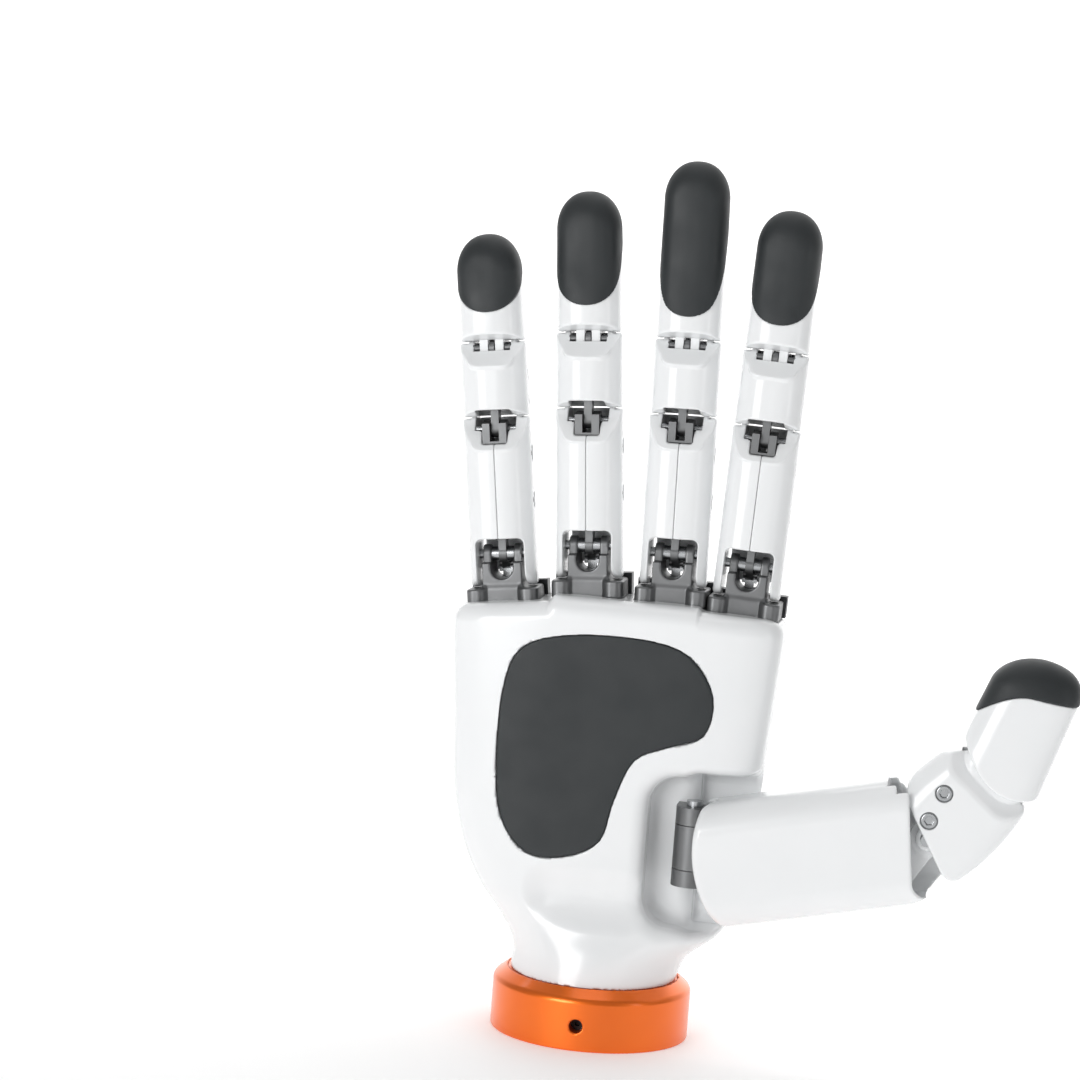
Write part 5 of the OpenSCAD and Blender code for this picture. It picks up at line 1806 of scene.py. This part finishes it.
@dataclass
class Studio:
    """Pale floor, soft lights and the camera, in metres."""

    # Camera: place, the directions to its right, up and ahead, and its lens in mm.
    eye: Point = (0.10196, -0.78926, 0.19937)
    right: Point = (0.98388572, 0.16202471, 0.07561001)
    up: Point = (-0.08934333, 0.07921347, 0.99284591)
    ahead: Point = (-0.15487624, 0.98360216, -0.09241283)
    lens: float = 104.38
    sensor: float = 36.0
    clip: Pair = (0.02, 20.0)
    # Floor: half width, front edge, where it starts to turn up and how sharply, wall's top.
    half: float = 5.0
    near: float = -4.0
    turn_y: float = 1.4
    turn_r: float = 0.9
    turn_cuts: int = 24
    wall_h: float = 4.0
    # Floor's paint and glow, and the glow of the white surroundings.
    paint: str = "#f4f4f4"
    matt: float = 0.7
    glow: float = 0.28
    around: float = 0.3
    lights: tuple[Light, ...] = (
        Light("key", (-0.5, -1.0, 0.22), HAND_MIDDLE, (0.5, 0.65), 6.2),
        Light("fill", (0.95, -0.5, 0.25), HAND_MIDDLE, (0.2, 0.7), 0.8),
        Light("top", (0.0, 0.0, 0.95), HAND_MIDDLE, (0.6, 0.4), 1.0),
        Light("wall", (0.0, 1.0, 1.8), (0.0, 2.3, 0.6), (3.0, 1.0), 36.0))

    def camera(self) -> None:
        """Places the camera a little above and to the thumb's side, turned slightly."""
        data = bpy.data.cameras.new("camera")
        data.sensor_width = self.sensor
        data.sensor_fit = "HORIZONTAL"
        data.lens = self.lens
        data.clip_start, data.clip_end = self.clip
        made = bpy.data.objects.new("camera", data)
        bpy.context.scene.collection.objects.link(made)
        back = -np.array(self.ahead)
        made.matrix_world = pose_matrix(self.right, self.up, back, self.eye)
        bpy.context.scene.camera = made

    def floor(self) -> None:
        """Makes the floor, which turns up in a quarter circle into the wall behind."""
        arc = np.linspace(0.0, np.pi / 2, self.turn_cuts + 1)
        y = np.concatenate([[self.near], self.turn_y + self.turn_r * np.sin(arc),
                            [self.turn_y + self.turn_r]])
        z = np.concatenate([[0.0], self.turn_r * (1 - np.cos(arc)), [self.wall_h]])
        count = len(y)
        points = np.concatenate([np.stack([np.full(count, x), y, z], axis=1)
                                 for x in (-self.half, self.half)])
        k = np.arange(count - 1)
        faces = np.stack([k, k + count, k + count + 1, k + 1], axis=1)
        mesh = bpy.data.meshes.new("sweep")
        mesh.from_pydata(points.tolist(), [], faces.tolist())
        mesh.polygons.foreach_set("use_smooth", np.ones(len(faces), bool))
        made = bpy.data.objects.new("floor", mesh)
        bpy.context.scene.collection.objects.link(made)
        paint = bpy.data.materials.new("Pale studio floor")
        paint.use_nodes = True
        sockets = paint.node_tree.nodes["Principled BSDF"].inputs
        sockets["Base Color"].default_value = linear(self.paint)
        sockets["Roughness"].default_value = self.matt
        sockets["Emission Color"].default_value = (1.0, 1.0, 1.0, 1.0)
        sockets["Emission Strength"].default_value = self.glow
        mesh.materials.append(paint)

    def build(self) -> None:
        """Makes the floor, the white surroundings, the lights and the camera."""
        self.floor()
        world = bpy.data.worlds.new("studio")
        world.use_nodes = True
        sockets = world.node_tree.nodes["Background"].inputs
        sockets["Color"].default_value = (1.0, 1.0, 1.0, 1.0)
        sockets["Strength"].default_value = self.around
        bpy.context.scene.world = world
        for light in self.lights:
            light.build()
        self.camera()
        bpy.context.scene.view_settings.view_transform = "Standard"


# ---------------------------------------------------------------- the whole hand

# Each finger's fingertip length, and how far up it the rubber starts, in mm.
TIPS = {"little": (27.0, 7.3), "ring": (35.2, 6.6), "middle": (44.5, 5.6), "index": (35.2, 6.0)}


def hand_fingers(record: dict) -> dict[str, Finger]:
    """The four fingers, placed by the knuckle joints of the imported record.

    Args:
        record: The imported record.
    Returns:
        Finger name to finger.
    """
    joints = {joint["name"]: joint for joint in record["behaviour"]["joints"]}
    skins: dict[tuple[str, float], Skin] = {}
    found = {}
    for name, tip in TIPS.items():
        joint = joints[f"{name}_knuckle"]
        lean = math.atan2(-joint["axis"][2], joint["axis"][0])
        found[name] = Finger(name, np.array(joint["pos_m"]) / MM, lean, *tip, skins)
    return found


def dress_solids(frame: dict) -> None:
    """Gives every solid that stays in sight its finish.

    Args:
        frame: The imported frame: its record and its nodes.
    """
    slots = {row["node"]: row["material_slot"] for row in frame["record"]["subparts"]}
    for name, solid in frame["nodes"].items():
        # The palm screws take the near-black finish: real black oxide, darkened further as painted
        # shade of their holes.
        made = (BLACK_OXIDE_HOLE_SHADE if name == "palm_screws" else FINISHES[slots[name]]).material()
        for place in solid.material_slots:
            place.material = made


def main() -> None:
    """Builds the hand and the studio."""
    logging.basicConfig(level=logging.INFO, format="%(message)s")
    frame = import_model()
    dress_solids(frame)
    fingers = hand_fingers(frame["record"])
    Wrist().build()
    Palm(fingers).build()
    for finger in fingers.values():
        finger.build()
    Thumb().build()
    Studio().build()


if __name__ == "__main__":
    main()
